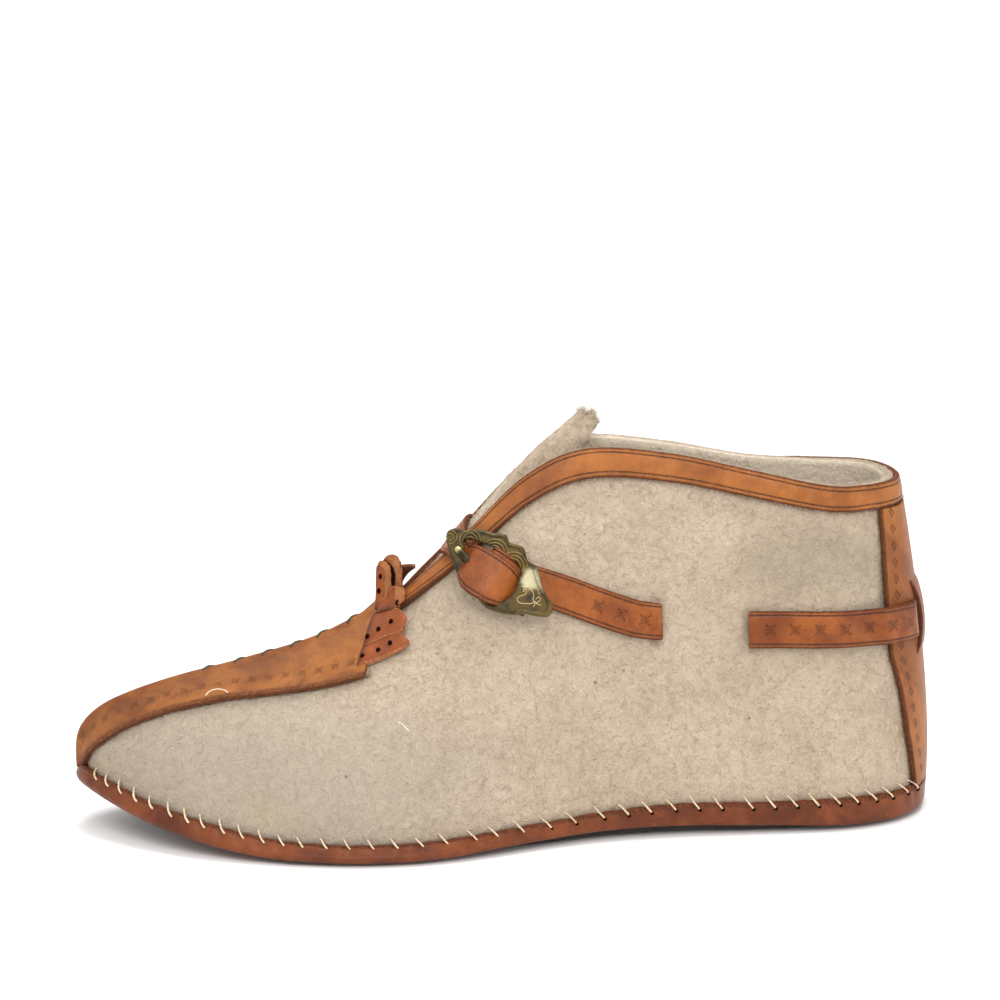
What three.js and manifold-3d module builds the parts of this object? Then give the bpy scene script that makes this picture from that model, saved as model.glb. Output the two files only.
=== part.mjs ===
// Ankle boot of felt with leather trim and a buckled ankle strap, left foot, empty.
// Millimetres, +Z up. The toe points along -X, the outer side of the foot is -Y.
// The origin is on the floor under the middle of the heel.
import * as THREE from 'three';
import { mergeVertices } from 'three/addons/utils/BufferGeometryUtils.js';
import Module from 'manifold-3d';

const wasm = await Module();
wasm.setup();

// Driving sizes of the foot form
const BODY_LENGTH = 264; // felt body, back of the heel to the toe
const BALL_WIDTH = 90; // felt body at the ball
const COLLAR_RISE = 116; // lower edge of the felt to the peak of the collar
const HEEL_REACH = 37; // origin to the back of the heel
const BULGE = 1.5; // swell of the felt wall between its edges

// Thicknesses and clearances
const CLEARANCE = 0.3; // between pieces that touch
const FELT = 3.2; // wall of the upper
const OUTSOLE = 2.0;
const SOLE_LEATHER = 1.8;
const INSOLE = 2.0;
const TRIM = 1.8; // leather of band, heel strip and toe strip
const STRAP = 2.0;
const TONGUE = 2.6;

// Sole
const RIM = 5.2; // greatest height of the turned-up sole leather above the felt's edge
const ROLL = 3.2; // how far the sole's edge stands out past its rim at the ball
const TUCK = 6.0; // greatest inset of the outsole from the felt's edge

// Trim
const BAND_WIDTH = 9.5; // collar band, at the collar
const STRIP_PINCH = 0.9; // raised seam along the middle of the toe strip
const FRINGE_LENGTH = 16;
const FRINGE = 1.6; // leather of the fringe
const STRAP_WIDTH = 11.5;
const TAIL_WIDTH = 9.6; // strap leather drawn in where it passes the buckle

// Buckle
const BUCKLE_LENGTH = 41;
const BUCKLE_WIDTH = 20;
const BUCKLE_PLATE = 2.2;
const BAR_DIAMETER = 2.0;
const SKIVED = 1.2; // thinned strap leather where it folds round the bar
const TAIL = 1.6; // strap leather of the free end in the buckle
const PRONG = 1.8; // width of the prong

// Heights that follow from the thicknesses
const PLATE_BOTTOM = OUTSOLE + CLEARANCE;
const PLATE_TOP = PLATE_BOTTOM + SOLE_LEATHER;
const FELT_EDGE = PLATE_TOP + CLEARANCE;
const OVER_FELT = CLEARANCE; // inner face of trim on the felt
const OVER_TRIM = OVER_FELT + TRIM + CLEARANCE; // inner face of what crosses the trim

// Sections of the foot form, one row for each, from the back of the heel to the toe.
// at: back to front (of BODY_LENGTH); lateral, medial: half widths at the felt's edge (of BALL_WIDTH);
// axis: sideways shift (of BODY_LENGTH); spring: lift of the edge (of COLLAR_RISE);
// rim (of RIM), roll (of ROLL), dip (of OUTSOLE), tuck (of TUCK): edge of the sole;
// topAt, topHalf, topHeight: collar, throat or ridge; dome: 0 for a leaning wall, 1 for a rounded one;
// bulge (of BULGE)
const COLUMNS = ['at', 'lateral', 'medial', 'axis', 'spring', 'rim', 'roll', 'dip', 'tuck',
  'topAt', 'topHalf', 'topHeight', 'dome', 'bulge'];
const SECTIONS = [
  [0.000, 0.000, 0.000, 0.000, 0.000, 1.00, 0.40, 0.50, 0.45, 0.0405, 0.000, 0.867, 0.00, 1.0],
  [0.0085, 0.105, 0.105, 0.000, 0.000, 1.00, 0.40, 0.50, 0.45, 0.045, 0.070, 0.869, 0.00, 1.0],
  [0.027, 0.195, 0.190, 0.000, 0.000, 1.00, 0.40, 0.50, 0.45, 0.059, 0.145, 0.870, 0.00, 1.0],
  [0.064, 0.272, 0.262, 0.000, 0.000, 1.00, 0.40, 0.50, 0.45, 0.091, 0.198, 0.873, 0.00, 1.0],
  [0.125, 0.315, 0.300, 0.000, 0.000, 1.00, 0.40, 0.60, 0.40, 0.136, 0.213, 0.886, 0.00, 1.0],
  [0.216, 0.314, 0.288, 0.000, 0.000, 0.95, 0.30, 1.10, 0.20, 0.216, 0.128, 0.916, 0.00, 1.0],
  [0.311, 0.304, 0.272, 0.000, 0.005, 0.90, 0.25, 1.20, 0.15, 0.314, 0.084, 0.962, 0.00, 1.0],
  [0.398, 0.320, 0.280, 0.000, 0.005, 0.72, 0.25, 1.20, 0.15, 0.413, 0.078, 0.980, 0.05, 1.0],
  [0.4735, 0.362, 0.316, 0.000, 0.000, 0.55, 0.45, 1.10, 0.20, 0.481, 0.073, 0.914, 0.15, 1.0],
  [0.538, 0.412, 0.366, 0.000, 0.000, 0.38, 0.80, 0.80, 0.40, 0.5435, 0.058, 0.771, 0.35, 1.0],
  [0.595, 0.450, 0.415, 0.000, 0.000, 0.22, 1.00, 0.40, 0.70, 0.5947, 0.033, 0.652, 0.60, 1.0],
  [0.648, 0.467, 0.448, 0.000, 0.000, 0.14, 1.00, 0.25, 0.95, 0.640, 0.000, 0.557, 0.80, 1.0],
  [0.716, 0.450, 0.452, 0.000, 0.000, 0.14, 1.00, 0.25, 1.00, 0.724, 0.000, 0.457, 0.95, 1.0],
  [0.792, 0.402, 0.410, 0.003, 0.005, 0.28, 0.85, 0.30, 1.00, 0.8106, 0.000, 0.398, 1.00, 1.0],
  [0.860, 0.332, 0.345, 0.008, 0.026, 0.45, 0.75, 0.35, 0.95, 0.886, 0.000, 0.356, 1.00, 0.8],
  [0.917, 0.250, 0.262, 0.016, 0.056, 0.45, 0.60, 0.35, 0.90, 0.943, 0.000, 0.311, 1.00, 0.7],
  [0.960, 0.163, 0.168, 0.025, 0.087, 0.40, 0.50, 0.35, 0.80, 0.979, 0.000, 0.266, 1.00, 0.4],
  [0.989, 0.080, 0.080, 0.031, 0.111, 0.32, 0.40, 0.35, 0.75, 0.9985, 0.000, 0.208, 1.00, 0.2],
  [1.000, 0.000, 0.000, 0.033, 0.119, 0.25, 0.40, 0.35, 0.75, 1.000, 0.000, 0.119, 1.00, 0.0],
];
const LAST = SECTIONS.length - 1;
const THROAT = 11; // first section whose walls meet at the ridge
const MIRRORED = new Set(['lateral', 'medial', 'topHalf']); // change sign past the heel and the toe
const LATERAL = -1;
const MEDIAL = 1;
const WALL_LEAN = 1.6; // how late the leaning wall draws in towards its top

const vec = (x, y, z) => new THREE.Vector3(x, y, z);
const clamp = (value, low, high) => Math.min(high, Math.max(low, value));

// Value of a column at a place between rows, through the rows without a corner
function column(name, s) {
  const index = COLUMNS.indexOf(name);
  const sign = MIRRORED.has(name) ? -1 : 1;
  const at = (i) => (i < 0 ? sign * SECTIONS[-i][index]
    : i > LAST ? sign * SECTIONS[2 * LAST - i][index] : SECTIONS[i][index]);
  const i = clamp(Math.floor(s), 0, LAST - 1);
  if (name === 'topHalf' && i >= THROAT) return 0;
  const t = s - i;
  const [a, b, c, d] = [at(i - 1), at(i), at(i + 1), at(i + 2)];
  return b + 0.5 * t * (c - a + t * (2 * a - 5 * b + 4 * c - d + t * (3 * (b - c) + d - a)));
}

// Lift of the sole at the waist and the toe; heel and ball stay flat on the floor
const lift = (s) => COLLAR_RISE * Math.max(0, column('spring', s));

// The felt's lower edge, its upper edge, and the outward direction in plan
function edgePoint(s, side) {
  const half = BALL_WIDTH * column(side === LATERAL ? 'lateral' : 'medial', s);
  return vec(HEEL_REACH - BODY_LENGTH * column('at', s), BODY_LENGTH * column('axis', s) + side * half,
    FELT_EDGE + lift(s));
}

function topPoint(s, side) {
  return vec(HEEL_REACH - BODY_LENGTH * column('topAt', s),
    BODY_LENGTH * column('axis', s) + side * BALL_WIDTH * column('topHalf', s),
    FELT_EDGE + COLLAR_RISE * column('topHeight', s));
}

const STEP = 0.02;

function outwardInPlan(s, side) {
  if (s <= STEP) return vec(1, 0, 0);
  if (s >= LAST - STEP) return vec(-1, 0, 0);
  const run = edgePoint(s + STEP, side).sub(edgePoint(s - STEP, side));
  return vec(-side * run.y, side * run.x, 0).multiplyScalar(-1).normalize();
}

// Outer face of the felt: rise 0 is the lower edge, rise 1 the collar, throat or ridge
function felt(s, rise, side) {
  const low = edgePoint(s, side);
  const high = topPoint(s, side);
  const dome = column('dome', s);
  const quarter = rise * Math.PI / 2;
  const up = (1 - dome) * rise + dome * Math.sin(quarter);
  const out = (1 - dome) * (1 - rise ** WALL_LEAN) + dome * Math.cos(quarter);
  const swell = BULGE * column('bulge', s) * Math.sin(Math.PI * rise ** 0.6);
  const point = high.clone().lerp(low, out).addScaledVector(outwardInPlan(s, side), swell);
  point.z = low.z + (high.z - low.z) * up;
  return point;
}

function sideNormal(s, rise, side) {
  const along = s <= STEP ? vec(0, 1, 0)
    : felt(Math.min(s + STEP, LAST - STEP), rise, side).sub(felt(s - STEP, rise, side));
  const up = felt(s, Math.min(1, rise + STEP), side).sub(felt(s, Math.max(0, rise - STEP), side));
  const normal = along.cross(up).normalize();
  const outside = outwardInPlan(s, side).add(vec(0, 0, rise * 0.5));
  return normal.dot(outside) < 0 ? normal.negate() : normal;
}

// Direction out of the felt. It is level along the lower edge, and one for both sides on the ridge.
function feltNormal(s, rise, side) {
  if (s >= LAST - STEP) return vec(-1, 0, 0);
  if (rise <= 0) return outwardInPlan(s, side);
  if (rise >= 1 && s >= THROAT) return sideNormal(s, 1, LATERAL).add(sideNormal(s, 1, MEDIAL)).normalize();
  return sideNormal(s, rise, side);
}

const overFelt = (s, rise, side, off) => felt(s, rise, side).addScaledVector(feltNormal(s, rise, side), off);

const BISECTIONS = 26;

function bisect(test) {
  let low = 0;
  let high = 1;
  for (let k = 0; k < BISECTIONS; k += 1) {
    const middle = (low + high) / 2;
    if (test(middle)) low = middle;
    else high = middle;
  }
  return (low + high) / 2;
}

const riseAt = (s, z, side) => bisect((rise) => felt(s, rise, side).z < z);
const heightOf = (share) => FELT_EDGE + COLLAR_RISE * share;

// A place on a side wall, from its share of the length behind the heel and its share of the rise
function wallPlace(side, at, height) {
  const z = heightOf(height);
  const x = HEEL_REACH - BODY_LENGTH * at;
  const s = THROAT * bisect((share) => felt(THROAT * share, riseAt(THROAT * share, z, side), side).x > x);
  return { s, rise: riseAt(s, z, side) };
}

// Collects triangles and joins corners that fall on one place
class Skin {
  constructor() {
    this.corners = [];
    this.faces = [];
    this.known = new Map();
  }

  corner(point) {
    const key = [point.x, point.y, point.z].map((value) => Math.round(value * 2000)).join();
    if (!this.known.has(key)) {
      this.known.set(key, this.corners.length);
      this.corners.push(point.clone());
    }
    return this.known.get(key);
  }

  triangle(a, b, c) {
    const [i, j, k] = [this.corner(a), this.corner(b), this.corner(c)];
    if (i !== j && j !== k && k !== i) this.faces.push([i, j, k]);
  }

  // Splits a four-cornered patch along its shorter diagonal
  patch(a, b, c, d) {
    if (a.distanceTo(c) <= b.distanceTo(d)) {
      this.triangle(a, b, c);
      this.triangle(a, c, d);
    } else {
      this.triangle(a, b, d);
      this.triangle(b, c, d);
    }
  }

  // A grid of rows of points, its faces turned over where wanted
  grid(rows, turned = false) {
    for (let i = 1; i < rows.length; i += 1) {
      for (let j = 1; j < rows[i].length; j += 1) {
        const patch = [rows[i - 1][j - 1], rows[i][j - 1], rows[i][j], rows[i - 1][j]];
        this.patch(...(turned ? patch.reverse() : patch));
      }
    }
  }

  geometry() {
    const at = this.corners;
    const volume = this.faces.reduce((sum, [i, j, k]) => sum + at[i].dot(at[j].clone().cross(at[k])), 0);
    const faces = volume < 0 ? this.faces.map(([i, j, k]) => [i, k, j]) : this.faces;
    const geometry = new THREE.BufferGeometry();
    geometry.setAttribute('position', new THREE.Float32BufferAttribute(at.flatMap((p) => p.toArray()), 3));
    geometry.setIndex(faces.flat());
    return geometry;
  }
}

// Closed body between two grids of the same shape, such as the faces of a sheet
function between(outer, inner) {
  const skin = new Skin();
  const edge = (grid) => [
    ...grid[0],
    ...grid.slice(1).map((row) => row.at(-1)),
    ...grid.at(-1).slice(0, -1).reverse(),
    ...grid.slice(0, -1).reverse().map((row) => row[0]),
  ];
  skin.grid(outer);
  skin.grid(inner, true);
  skin.grid([edge(outer), edge(inner)], true);
  return skin.geometry();
}

// Closed body from rings round the sole's outline. The first and last ring are closed by
// strips across the sole. A ring gives its point for a section and a side.
function fromRings(rings) {
  const skin = new Skin();
  const stations = SOLE_STATIONS;
  const loop = (ring) => [
    ...stations.map((s) => ring(s, LATERAL)),
    ...stations.slice(0, -1).reverse().map((s) => ring(s, MEDIAL)),
  ];
  const across = (ring) => stations.map((s) => [ring(s, LATERAL), ring(s, MEDIAL)]);
  skin.grid(rings.map(loop));
  skin.grid(across(rings[0]));
  skin.grid(across(rings.at(-1)), true);
  return skin.geometry();
}

const range = (from, to, count) => Array.from({ length: count + 1 }, (_, k) => from + (to - from) * k / count);
const SOLE_STATIONS = range(0, LAST, LAST * 2);

function toSolid(geometry) {
  const clean = geometry.clone();
  clean.deleteAttribute('normal');
  clean.deleteAttribute('uv');
  const merged = mergeVertices(clean, 1e-4);
  return new wasm.Manifold(new wasm.Mesh({
    numProp: 3,
    vertProperties: new Float32Array(merged.attributes.position.array),
    triVerts: new Uint32Array(merged.index.array),
  }));
}

function toGeometry(solid) {
  const mesh = solid.getMesh();
  const geometry = new THREE.BufferGeometry();
  geometry.setAttribute('position', new THREE.Float32BufferAttribute(mesh.vertProperties, 3));
  geometry.setIndex(Array.from(mesh.triVerts));
  return geometry;
}

const boot = new THREE.Group();

function addPiece(name, geometry, color, roughness, metalness = 0) {
  geometry.computeVertexNormals();
  const mesh = new THREE.Mesh(geometry, new THREE.MeshStandardMaterial({ color, roughness, metalness }));
  mesh.name = name;
  boot.add(mesh);
}

const FELT_COLOR = 0xbfb09a;
const TAN = 0xb06a32;
const RED_TAN = 0xa2552f;
const SOLE_BROWN = 0x7a4127;
const SOLE_BLACK = 0x241f1d;
const BRASS = 0x8d7a3c;

// Outsole: a flat plate under the sole leather, its lower edge slightly eased
function outsole() {
  const EASE = 0.5;
  const ring = (inset, height) => (s, side) => {
    const point = edgePoint(s, side);
    point.addScaledVector(outwardInPlan(s, side), -TUCK * column('tuck', s) - inset);
    point.z += height - FELT_EDGE;
    return point;
  };
  return fromRings([ring(EASE, 0), ring(0, EASE), ring(0, OUTSOLE)]);
}

// Sole: one piece of leather under the foot, turned up and rolled round the felt's lower edge
function sole() {
  const rimTop = (s) => FELT_EDGE + lift(s) + RIM * column('rim', s);
  const flat = (out, height) => (s, side) => {
    const point = edgePoint(s, side).addScaledVector(outwardInPlan(s, side), out(s));
    point.z = lift(s) + height(s);
    return point;
  };
  const wall = (out, share) => (s, side) => {
    const z = FELT_EDGE + lift(s) + RIM * column('rim', s) * share;
    const point = felt(s, s > LAST - STEP ? 0 : riseAt(s, z, side), side);
    point.addScaledVector(outwardInPlan(s, side), out(s));
    point.z = Math.min(z, rimTop(s));
    return point;
  };
  const dip = (s) => Math.min(OUTSOLE * column('dip', s), PLATE_BOTTOM);
  const roll = (s) => CLEARANCE + SOLE_LEATHER + ROLL * column('roll', s);
  const lip = (s) => CLEARANCE - TUCK * column('tuck', s);
  return fromRings([
    flat((s) => lip(s), () => PLATE_BOTTOM),
    flat((s) => lip(s) + 0.4, (s) => dip(s) + 0.25 * (PLATE_BOTTOM - dip(s))),
    flat((s) => 0.35 * roll(s) + 0.65 * (lip(s) + 0.4), (s) => dip(s)),
    flat((s) => 0.72 * roll(s), (s) => dip(s) + 0.1),
    flat((s) => 0.95 * roll(s), (s) => dip(s) + 0.3 * (FELT_EDGE - dip(s))),
    flat((s) => roll(s), (s) => dip(s) + 0.6 * (FELT_EDGE - dip(s))),
    wall((s) => CLEARANCE + SOLE_LEATHER + 0.35 * ROLL * column('roll', s), 0.45),
    wall(() => CLEARANCE + SOLE_LEATHER, 1),
    wall(() => CLEARANCE, 1),
    flat(() => CLEARANCE, () => FELT_EDGE),
    flat(() => CLEARANCE, () => PLATE_TOP),
    flat(() => -FELT, () => PLATE_TOP),
  ]);
}

// Insole: felt inside the walls, on the sole leather
function insole() {
  const ring = (inset, height) => (s, side) => {
    const point = edgePoint(s, side);
    point.addScaledVector(outwardInPlan(s, side), -FELT - CLEARANCE - inset);
    point.z += height;
    return point;
  };
  return fromRings([ring(0, 0), ring(0, 0.6 * INSOLE), ring(0.5, INSOLE)]);
}

// Upper: one hollow felt wall, open at the collar and throat and underneath, slit for the strap
const WALL_STATIONS = range(0, LAST, LAST * 2);
const WALL_RISES = [0, 0.06, 0.16, 0.28, 0.4, 0.52, 0.64, 0.75, 0.85, 0.93, 1];

function innerFelt(s, rise, side) {
  const point = overFelt(s, rise, side, -FELT);
  if (rise >= 1 && s < THROAT) {
    // The two edges of the throat come together without crossing
    const apart = 0.3 * BALL_WIDTH * column('topHalf', s);
    point.y = side * Math.max(side * point.y, apart);
  }
  return point;
}

function upperShell() {
  const skin = new Skin();
  const face = (place) => [LATERAL, MEDIAL].map((side) => (
    WALL_STATIONS.map((s) => WALL_RISES.map((rise) => place(s, rise, side)))));
  const [outerLateral, outerMedial] = face(felt);
  const [innerLateral, innerMedial] = face(innerFelt);
  skin.grid(outerLateral);
  skin.grid(outerMedial, true);
  skin.grid(innerLateral, true);
  skin.grid(innerMedial);
  const rim = (outer, inner, index, turned) => {
    const stations = outer.filter((_, k) => index === 0 || WALL_STATIONS[k] <= THROAT);
    const partners = inner.slice(0, stations.length);
    skin.grid(stations.map((row, k) => [row.at(index), partners[k].at(index)]), turned);
  };
  rim(outerLateral, innerLateral, 0, true);
  rim(outerMedial, innerMedial, 0, false);
  rim(outerLateral, innerLateral, -1, false);
  rim(outerMedial, innerMedial, -1, true);
  return skin.geometry();
}

// Strap slits: behind and in front of the ankle on both sides
const SLITS = [{ at: 0.227, height: 0.506 }, { at: 0.337, height: 0.533 }];

function wallFrame(place, side) {
  const ahead = felt(place.s + STEP, place.rise, side).sub(felt(place.s - STEP, place.rise, side));
  const normal = feltNormal(place.s, place.rise, side);
  const along = ahead.setZ(0).projectOnPlane(normal).normalize();
  return { point: felt(place.s, place.rise, side), normal, along };
}

function slitCutter(slit, side) {
  const frame = wallFrame(wallPlace(side, slit.at, slit.height), side);
  const across = frame.normal.clone().cross(frame.along);
  const box = new THREE.BoxGeometry(STRAP + 2 * CLEARANCE, STRAP_WIDTH + 2 * CLEARANCE, 3 * FELT);
  box.applyMatrix4(new THREE.Matrix4().makeBasis(frame.along, across, frame.normal));
  const middle = frame.point.addScaledVector(frame.normal, -FELT / 2);
  return box.translate(middle.x, middle.y, middle.z);
}

function upper() {
  let solid = toSolid(upperShell());
  for (const side of [LATERAL, MEDIAL]) {
    for (const slit of SLITS) solid = solid.subtract(toSolid(slitCutter(slit, side)));
  }
  return toGeometry(solid);
}

// Tongue: a felt sheet folded like a roof under the throat, its free end cut in teeth.
// at, height: crest of the fold (of BODY_LENGTH and COLLAR_RISE)
const TONGUE_CREST = [
  { at: 0.612, height: 0.565 },
  { at: 0.585, height: 0.617 },
  { at: 0.556, height: 0.690 },
  { at: 0.528, height: 0.772 },
  { at: 0.498, height: 0.876 },
  { at: 0.470, height: 0.950 },
  { at: 0.436, height: 1.022 },
  { at: 0.409, height: 1.078 },
];
const TONGUE_DROP = 27; // how far each wing reaches down from the crest
const TONGUE_TOOTH = 5.5;
const TONGUE_COLUMNS = [-1, -0.8, -0.6, -0.4, -0.2, -0.07, 0.07, 0.2, 0.4, 0.6, 0.8, 1];

function tongue() {
  const crest = TONGUE_CREST.map(({ at, height }) => vec(HEEL_REACH - BODY_LENGTH * at, 0, heightOf(height)));
  const heading = (i) => crest[Math.min(i + 1, crest.length - 1)].clone()
    .sub(crest[Math.max(i - 1, 0)]).normalize();
  const sheet = (depth) => crest.map((point, i) => {
    const forward = heading(i);
    const down = vec(forward.z, 0, -forward.x);
    return TONGUE_COLUMNS.map((share, j) => {
      const side = share < 0 ? LATERAL : MEDIAL;
      const last = i === crest.length - 1;
      const tooth = last && j % 2 ? TONGUE_TOOTH : 0;
      const drop = TONGUE_DROP * Math.abs(share);
      const place = point.clone().addScaledVector(down, drop).addScaledVector(forward, -tooth);
      place.y = side * tongueHalf(place, point, drop, side, depth);
      if (depth > 0) place.addScaledVector(down, TONGUE * Math.exp(-drop / TONGUE));
      return place;
    });
  });
  return between(sheet(0), sheet(1));
}

// Half width of the folded tongue: it follows the inside of the walls and closes over them in a crest
function tongueHalf(place, crest, drop, side, depth) {
  const s = THROAT * bisect((share) => topPoint(THROAT * share, side).x > place.x);
  const edge = topPoint(s, side);
  const z = Math.min(place.z, edge.z);
  const spot = { s, rise: Math.min(riseAt(s, z, side), 1) };
  const wall = felt(spot.s, spot.rise, side);
  const normal = feltNormal(spot.s, Math.min(spot.rise, 0.98), side);
  const room = Math.abs(wall.y) - (FELT + 2 * CLEARANCE) / Math.max(Math.abs(normal.y), 0.5);
  const fold = Math.sin(Math.min(1, (drop + 1) / (0.3 * TONGUE_DROP)) * Math.PI / 2);
  const half = Math.max(room, TONGUE + 0.5) * fold;
  return depth ? Math.max(half - TONGUE / Math.max(Math.abs(normal.y), 0.7), 0.25 + 0.02 * drop) : half;
}

// Leather that lies on the felt: a sheet over a grid of places. Its inner and outer distance off
// the felt is a number or a function of row and column.
function overlay(places, inner, outer) {
  const face = (off) => places.map((row, i) => row.map((place, j) => (
    overFelt(place.s, place.rise, place.side, typeof off === 'function' ? off(i, j) : off))));
  return between(face(outer), face(inner));
}

// Places from the lateral side round the back of the heel to the medial side
const roundHeel = (reach, steps) => [
  ...range(reach, 0, steps).map((s) => ({ s, side: LATERAL })),
  ...range(0, reach, steps).slice(1).map((s) => ({ s, side: MEDIAL })),
];

function shareAt(table, s) {
  const k = clamp(table.findIndex(([row]) => row >= s), 1, table.length - 1);
  const [[from, low], [to, high]] = [table[k - 1], table[k]];
  return low + (high - low) * clamp((s - from) / (to - from), 0, 1);
}

// Collar band: one strip along throat and collar, from under the fringe and back to it.
// Section row, width (of BAND_WIDTH)
const BAND_END = 10.5;
const BAND_WIDTHS = [[0, 0.8], [3, 0.82], [5, 0.9], [7, 0.98], [8, 0.95], [9, 0.8], [BAND_END, 0.7]];

function bandRise(s, side) {
  const width = BAND_WIDTH * shareAt(BAND_WIDTHS, s);
  const top = topPoint(s, side);
  return bisect((rise) => felt(s, rise, side).distanceTo(top) > width);
}

function collarBand() {
  const places = roundHeel(BAND_END, 2 * BAND_END).map(({ s, side }) => (
    range(bandRise(s, side), 1, 2).map((rise) => ({ s, rise, side }))));
  return overlay(places, OVER_FELT, OVER_FELT + TRIM);
}

// Heel strip: from the collar band down to the rim of the sole. The strap runs over its sides
// and under a keeper, which is the middle of the strip lifted off between two slits.
// Share of COLLAR_RISE, edge of the strip in section rows
const HEEL_REACHES = [[0.04, 2.0], [0.2, 2.4], [0.33, 2.6], [0.42, 2.82], [0.6, 2.8], [0.9, 2.6]];
const KEEPER_REACH = 1.4;
const KEEPER_WINDOW = 1.9;
const KEEPER_RAMP = 5; // height over which the keeper rises off the felt

function heelPlaces(heights, reachAt, steps) {
  return heights.map((z) => roundHeel(reachAt(z), steps)
    .map(({ s, side }) => ({ s, rise: riseAt(s, z, side), side })));
}

function heelStrip() {
  const bottom = FELT_EDGE + RIM + CLEARANCE;
  const top = topPoint(0, LATERAL).z - BAND_WIDTH * BAND_WIDTHS[0][1] - 2 * CLEARANCE;
  const middle = heightOf(SLITS[0].height);
  const slit = STRAP_WIDTH / 2 + 2 * CLEARANCE;
  const edge = (z) => shareAt(HEEL_REACHES, (z - FELT_EDGE) / COLLAR_RISE);
  const strip = overlay(heelPlaces(range(bottom, top, 7), edge, 4), OVER_FELT, OVER_FELT + TRIM);
  const window = overlay(heelPlaces(range(middle - slit, middle + slit, 2), () => KEEPER_WINDOW, 3),
    -CLEARANCE, OVER_TRIM);
  const levels = [-slit - KEEPER_RAMP, -slit, slit, slit + KEEPER_RAMP].map((rise) => middle + rise);
  const lifts = [0, 1, 1, 0].map((up) => OVER_FELT + up * (STRAP + CLEARANCE));
  const keeper = overlay(heelPlaces(levels, () => KEEPER_REACH, 3), (i) => lifts[i], (i) => lifts[i] + TRIM);
  return toGeometry(toSolid(strip).subtract(toSolid(window)).add(toSolid(keeper)));
}

// Toe strip: over the ridge from the fringe to the toe, its middle pinched into a raised seam.
// Section row, rise of its lower edge
const STRIP_EDGES = [[11, 0.62], [11.7, 0.64], [12.4, 0.67], [13.4, 0.71], [14.4, 0.7], [15, 0.67],
  [15.6, 0.62], [16.3, 0.54], [17.2, 0.41], [18, 0.3]];
const STRIP_TIP = 17.55;
const FOLD_RIDGE = 11.1; // section row where the strip ends at the ridge
const FOLD_EDGE = 11.5; // and at its lower edges
const STRIP_COLUMNS = [0, 0.25, 0.5, 0.75, 0.92, 1];
const STRIP_LIFT = 0.5; // off the felt, over its hollows

// A place across the ridge: share -1 is the lateral edge of the strip, 0 the ridge, 1 the medial edge
function acrossRidge(s, share) {
  const edge = shareAt(STRIP_EDGES, s);
  return { s, rise: 1 - (1 - edge) * Math.abs(share), side: share < 0 ? LATERAL : MEDIAL };
}

const foldRow = (share) => FOLD_RIDGE + (FOLD_EDGE - FOLD_RIDGE) * Math.abs(share);

function toeStrip() {
  const shares = [...STRIP_COLUMNS.map((share) => share - 1), ...STRIP_COLUMNS.slice(0, -1).reverse()
    .map((share) => 1 - share)];
  const places = range(0, 1, 18).map((run) => shares.map((share) => (
    acrossRidge(foldRow(share) + (STRIP_TIP - foldRow(share)) * run, share))));
  const pinch = (i, j) => STRIP_LIFT + TRIM + (shares[j] === 0 ? STRIP_PINCH : 0);
  return overlay(places, STRIP_LIFT, pinch);
}

// Fringe: a notched flap that leaves the ridge at the end of the toe strip and stands off the throat.
// Across the ridge (as the strip), angle off the felt in degrees
const FRINGE_ANGLES = [[0, 42], [0.5, 26], [1, 9]];
const NOTCH = 0.74; // length in a notch, of FRINGE_LENGTH

function fringe() {
  const shares = range(-1, 1, 12);
  const face = (off) => shares.map((share, j) => {
    const place = acrossRidge(foldRow(share), share);
    const root = overFelt(place.s, place.rise, place.side, 0);
    const normal = feltNormal(Math.max(place.s, THROAT), place.rise, place.side);
    const back = felt(place.s - 0.3, place.rise, place.side).sub(root).projectOnPlane(normal).normalize();
    const angle = THREE.MathUtils.degToRad(shareAt(FRINGE_ANGLES, Math.abs(share)));
    const run = back.clone().multiplyScalar(Math.cos(angle)).addScaledVector(normal, Math.sin(angle));
    const facing = normal.clone().multiplyScalar(Math.cos(angle)).addScaledVector(back, -Math.sin(angle));
    root.addScaledVector(normal, OVER_FELT).addScaledVector(back, 2 * CLEARANCE + FRINGE * Math.sin(angle));
    const length = FRINGE_LENGTH * (j % 2 ? NOTCH : 1);
    return [0, 0.35, 0.7, 1].map((part) => (
      root.clone().addScaledVector(run, part * length).addScaledVector(facing, off)));
  });
  return between(face(FRINGE), face(0));
}

// Buckle: its own frame of directions on the lateral wall. u runs along it from the throat to the
// heel, v across it, w out of the felt.
const BUCKLE_PLACE = { at: 0.517, height: 0.665 };
const BUCKLE_SLANT = 30; // degrees that u points below the level
const FRAME_BASE = OVER_FELT + STRAP + CLEARANCE + TAIL + CLEARANCE;
const BAR_HEIGHT = FRAME_BASE + 0.2 * BAR_DIAMETER;
const BAR_PLACE = -0.085; // of BUCKLE_LENGTH
const FOLD_RADIUS = BAR_DIAMETER / 2 + CLEARANCE + SKIVED / 2;

function buckleDirections() {
  const { point, normal } = wallFrame(wallPlace(LATERAL, BUCKLE_PLACE.at, BUCKLE_PLACE.height), LATERAL);
  const level = vec(0, 0, 1).cross(normal).normalize();
  const upright = normal.clone().cross(level);
  const slant = THREE.MathUtils.degToRad(BUCKLE_SLANT);
  const u = level.clone().multiplyScalar(Math.cos(slant)).addScaledVector(upright, -Math.sin(slant));
  const v = level.clone().multiplyScalar(Math.sin(slant)).addScaledVector(upright, Math.cos(slant));
  return { origin: point, u, v, w: normal };
}

const BUCKLE = buckleDirections();
const inBuckle = (u, v, w) => BUCKLE.origin.clone().addScaledVector(BUCKLE.u, u)
  .addScaledVector(BUCKLE.v, v).addScaledVector(BUCKLE.w, w);

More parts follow.
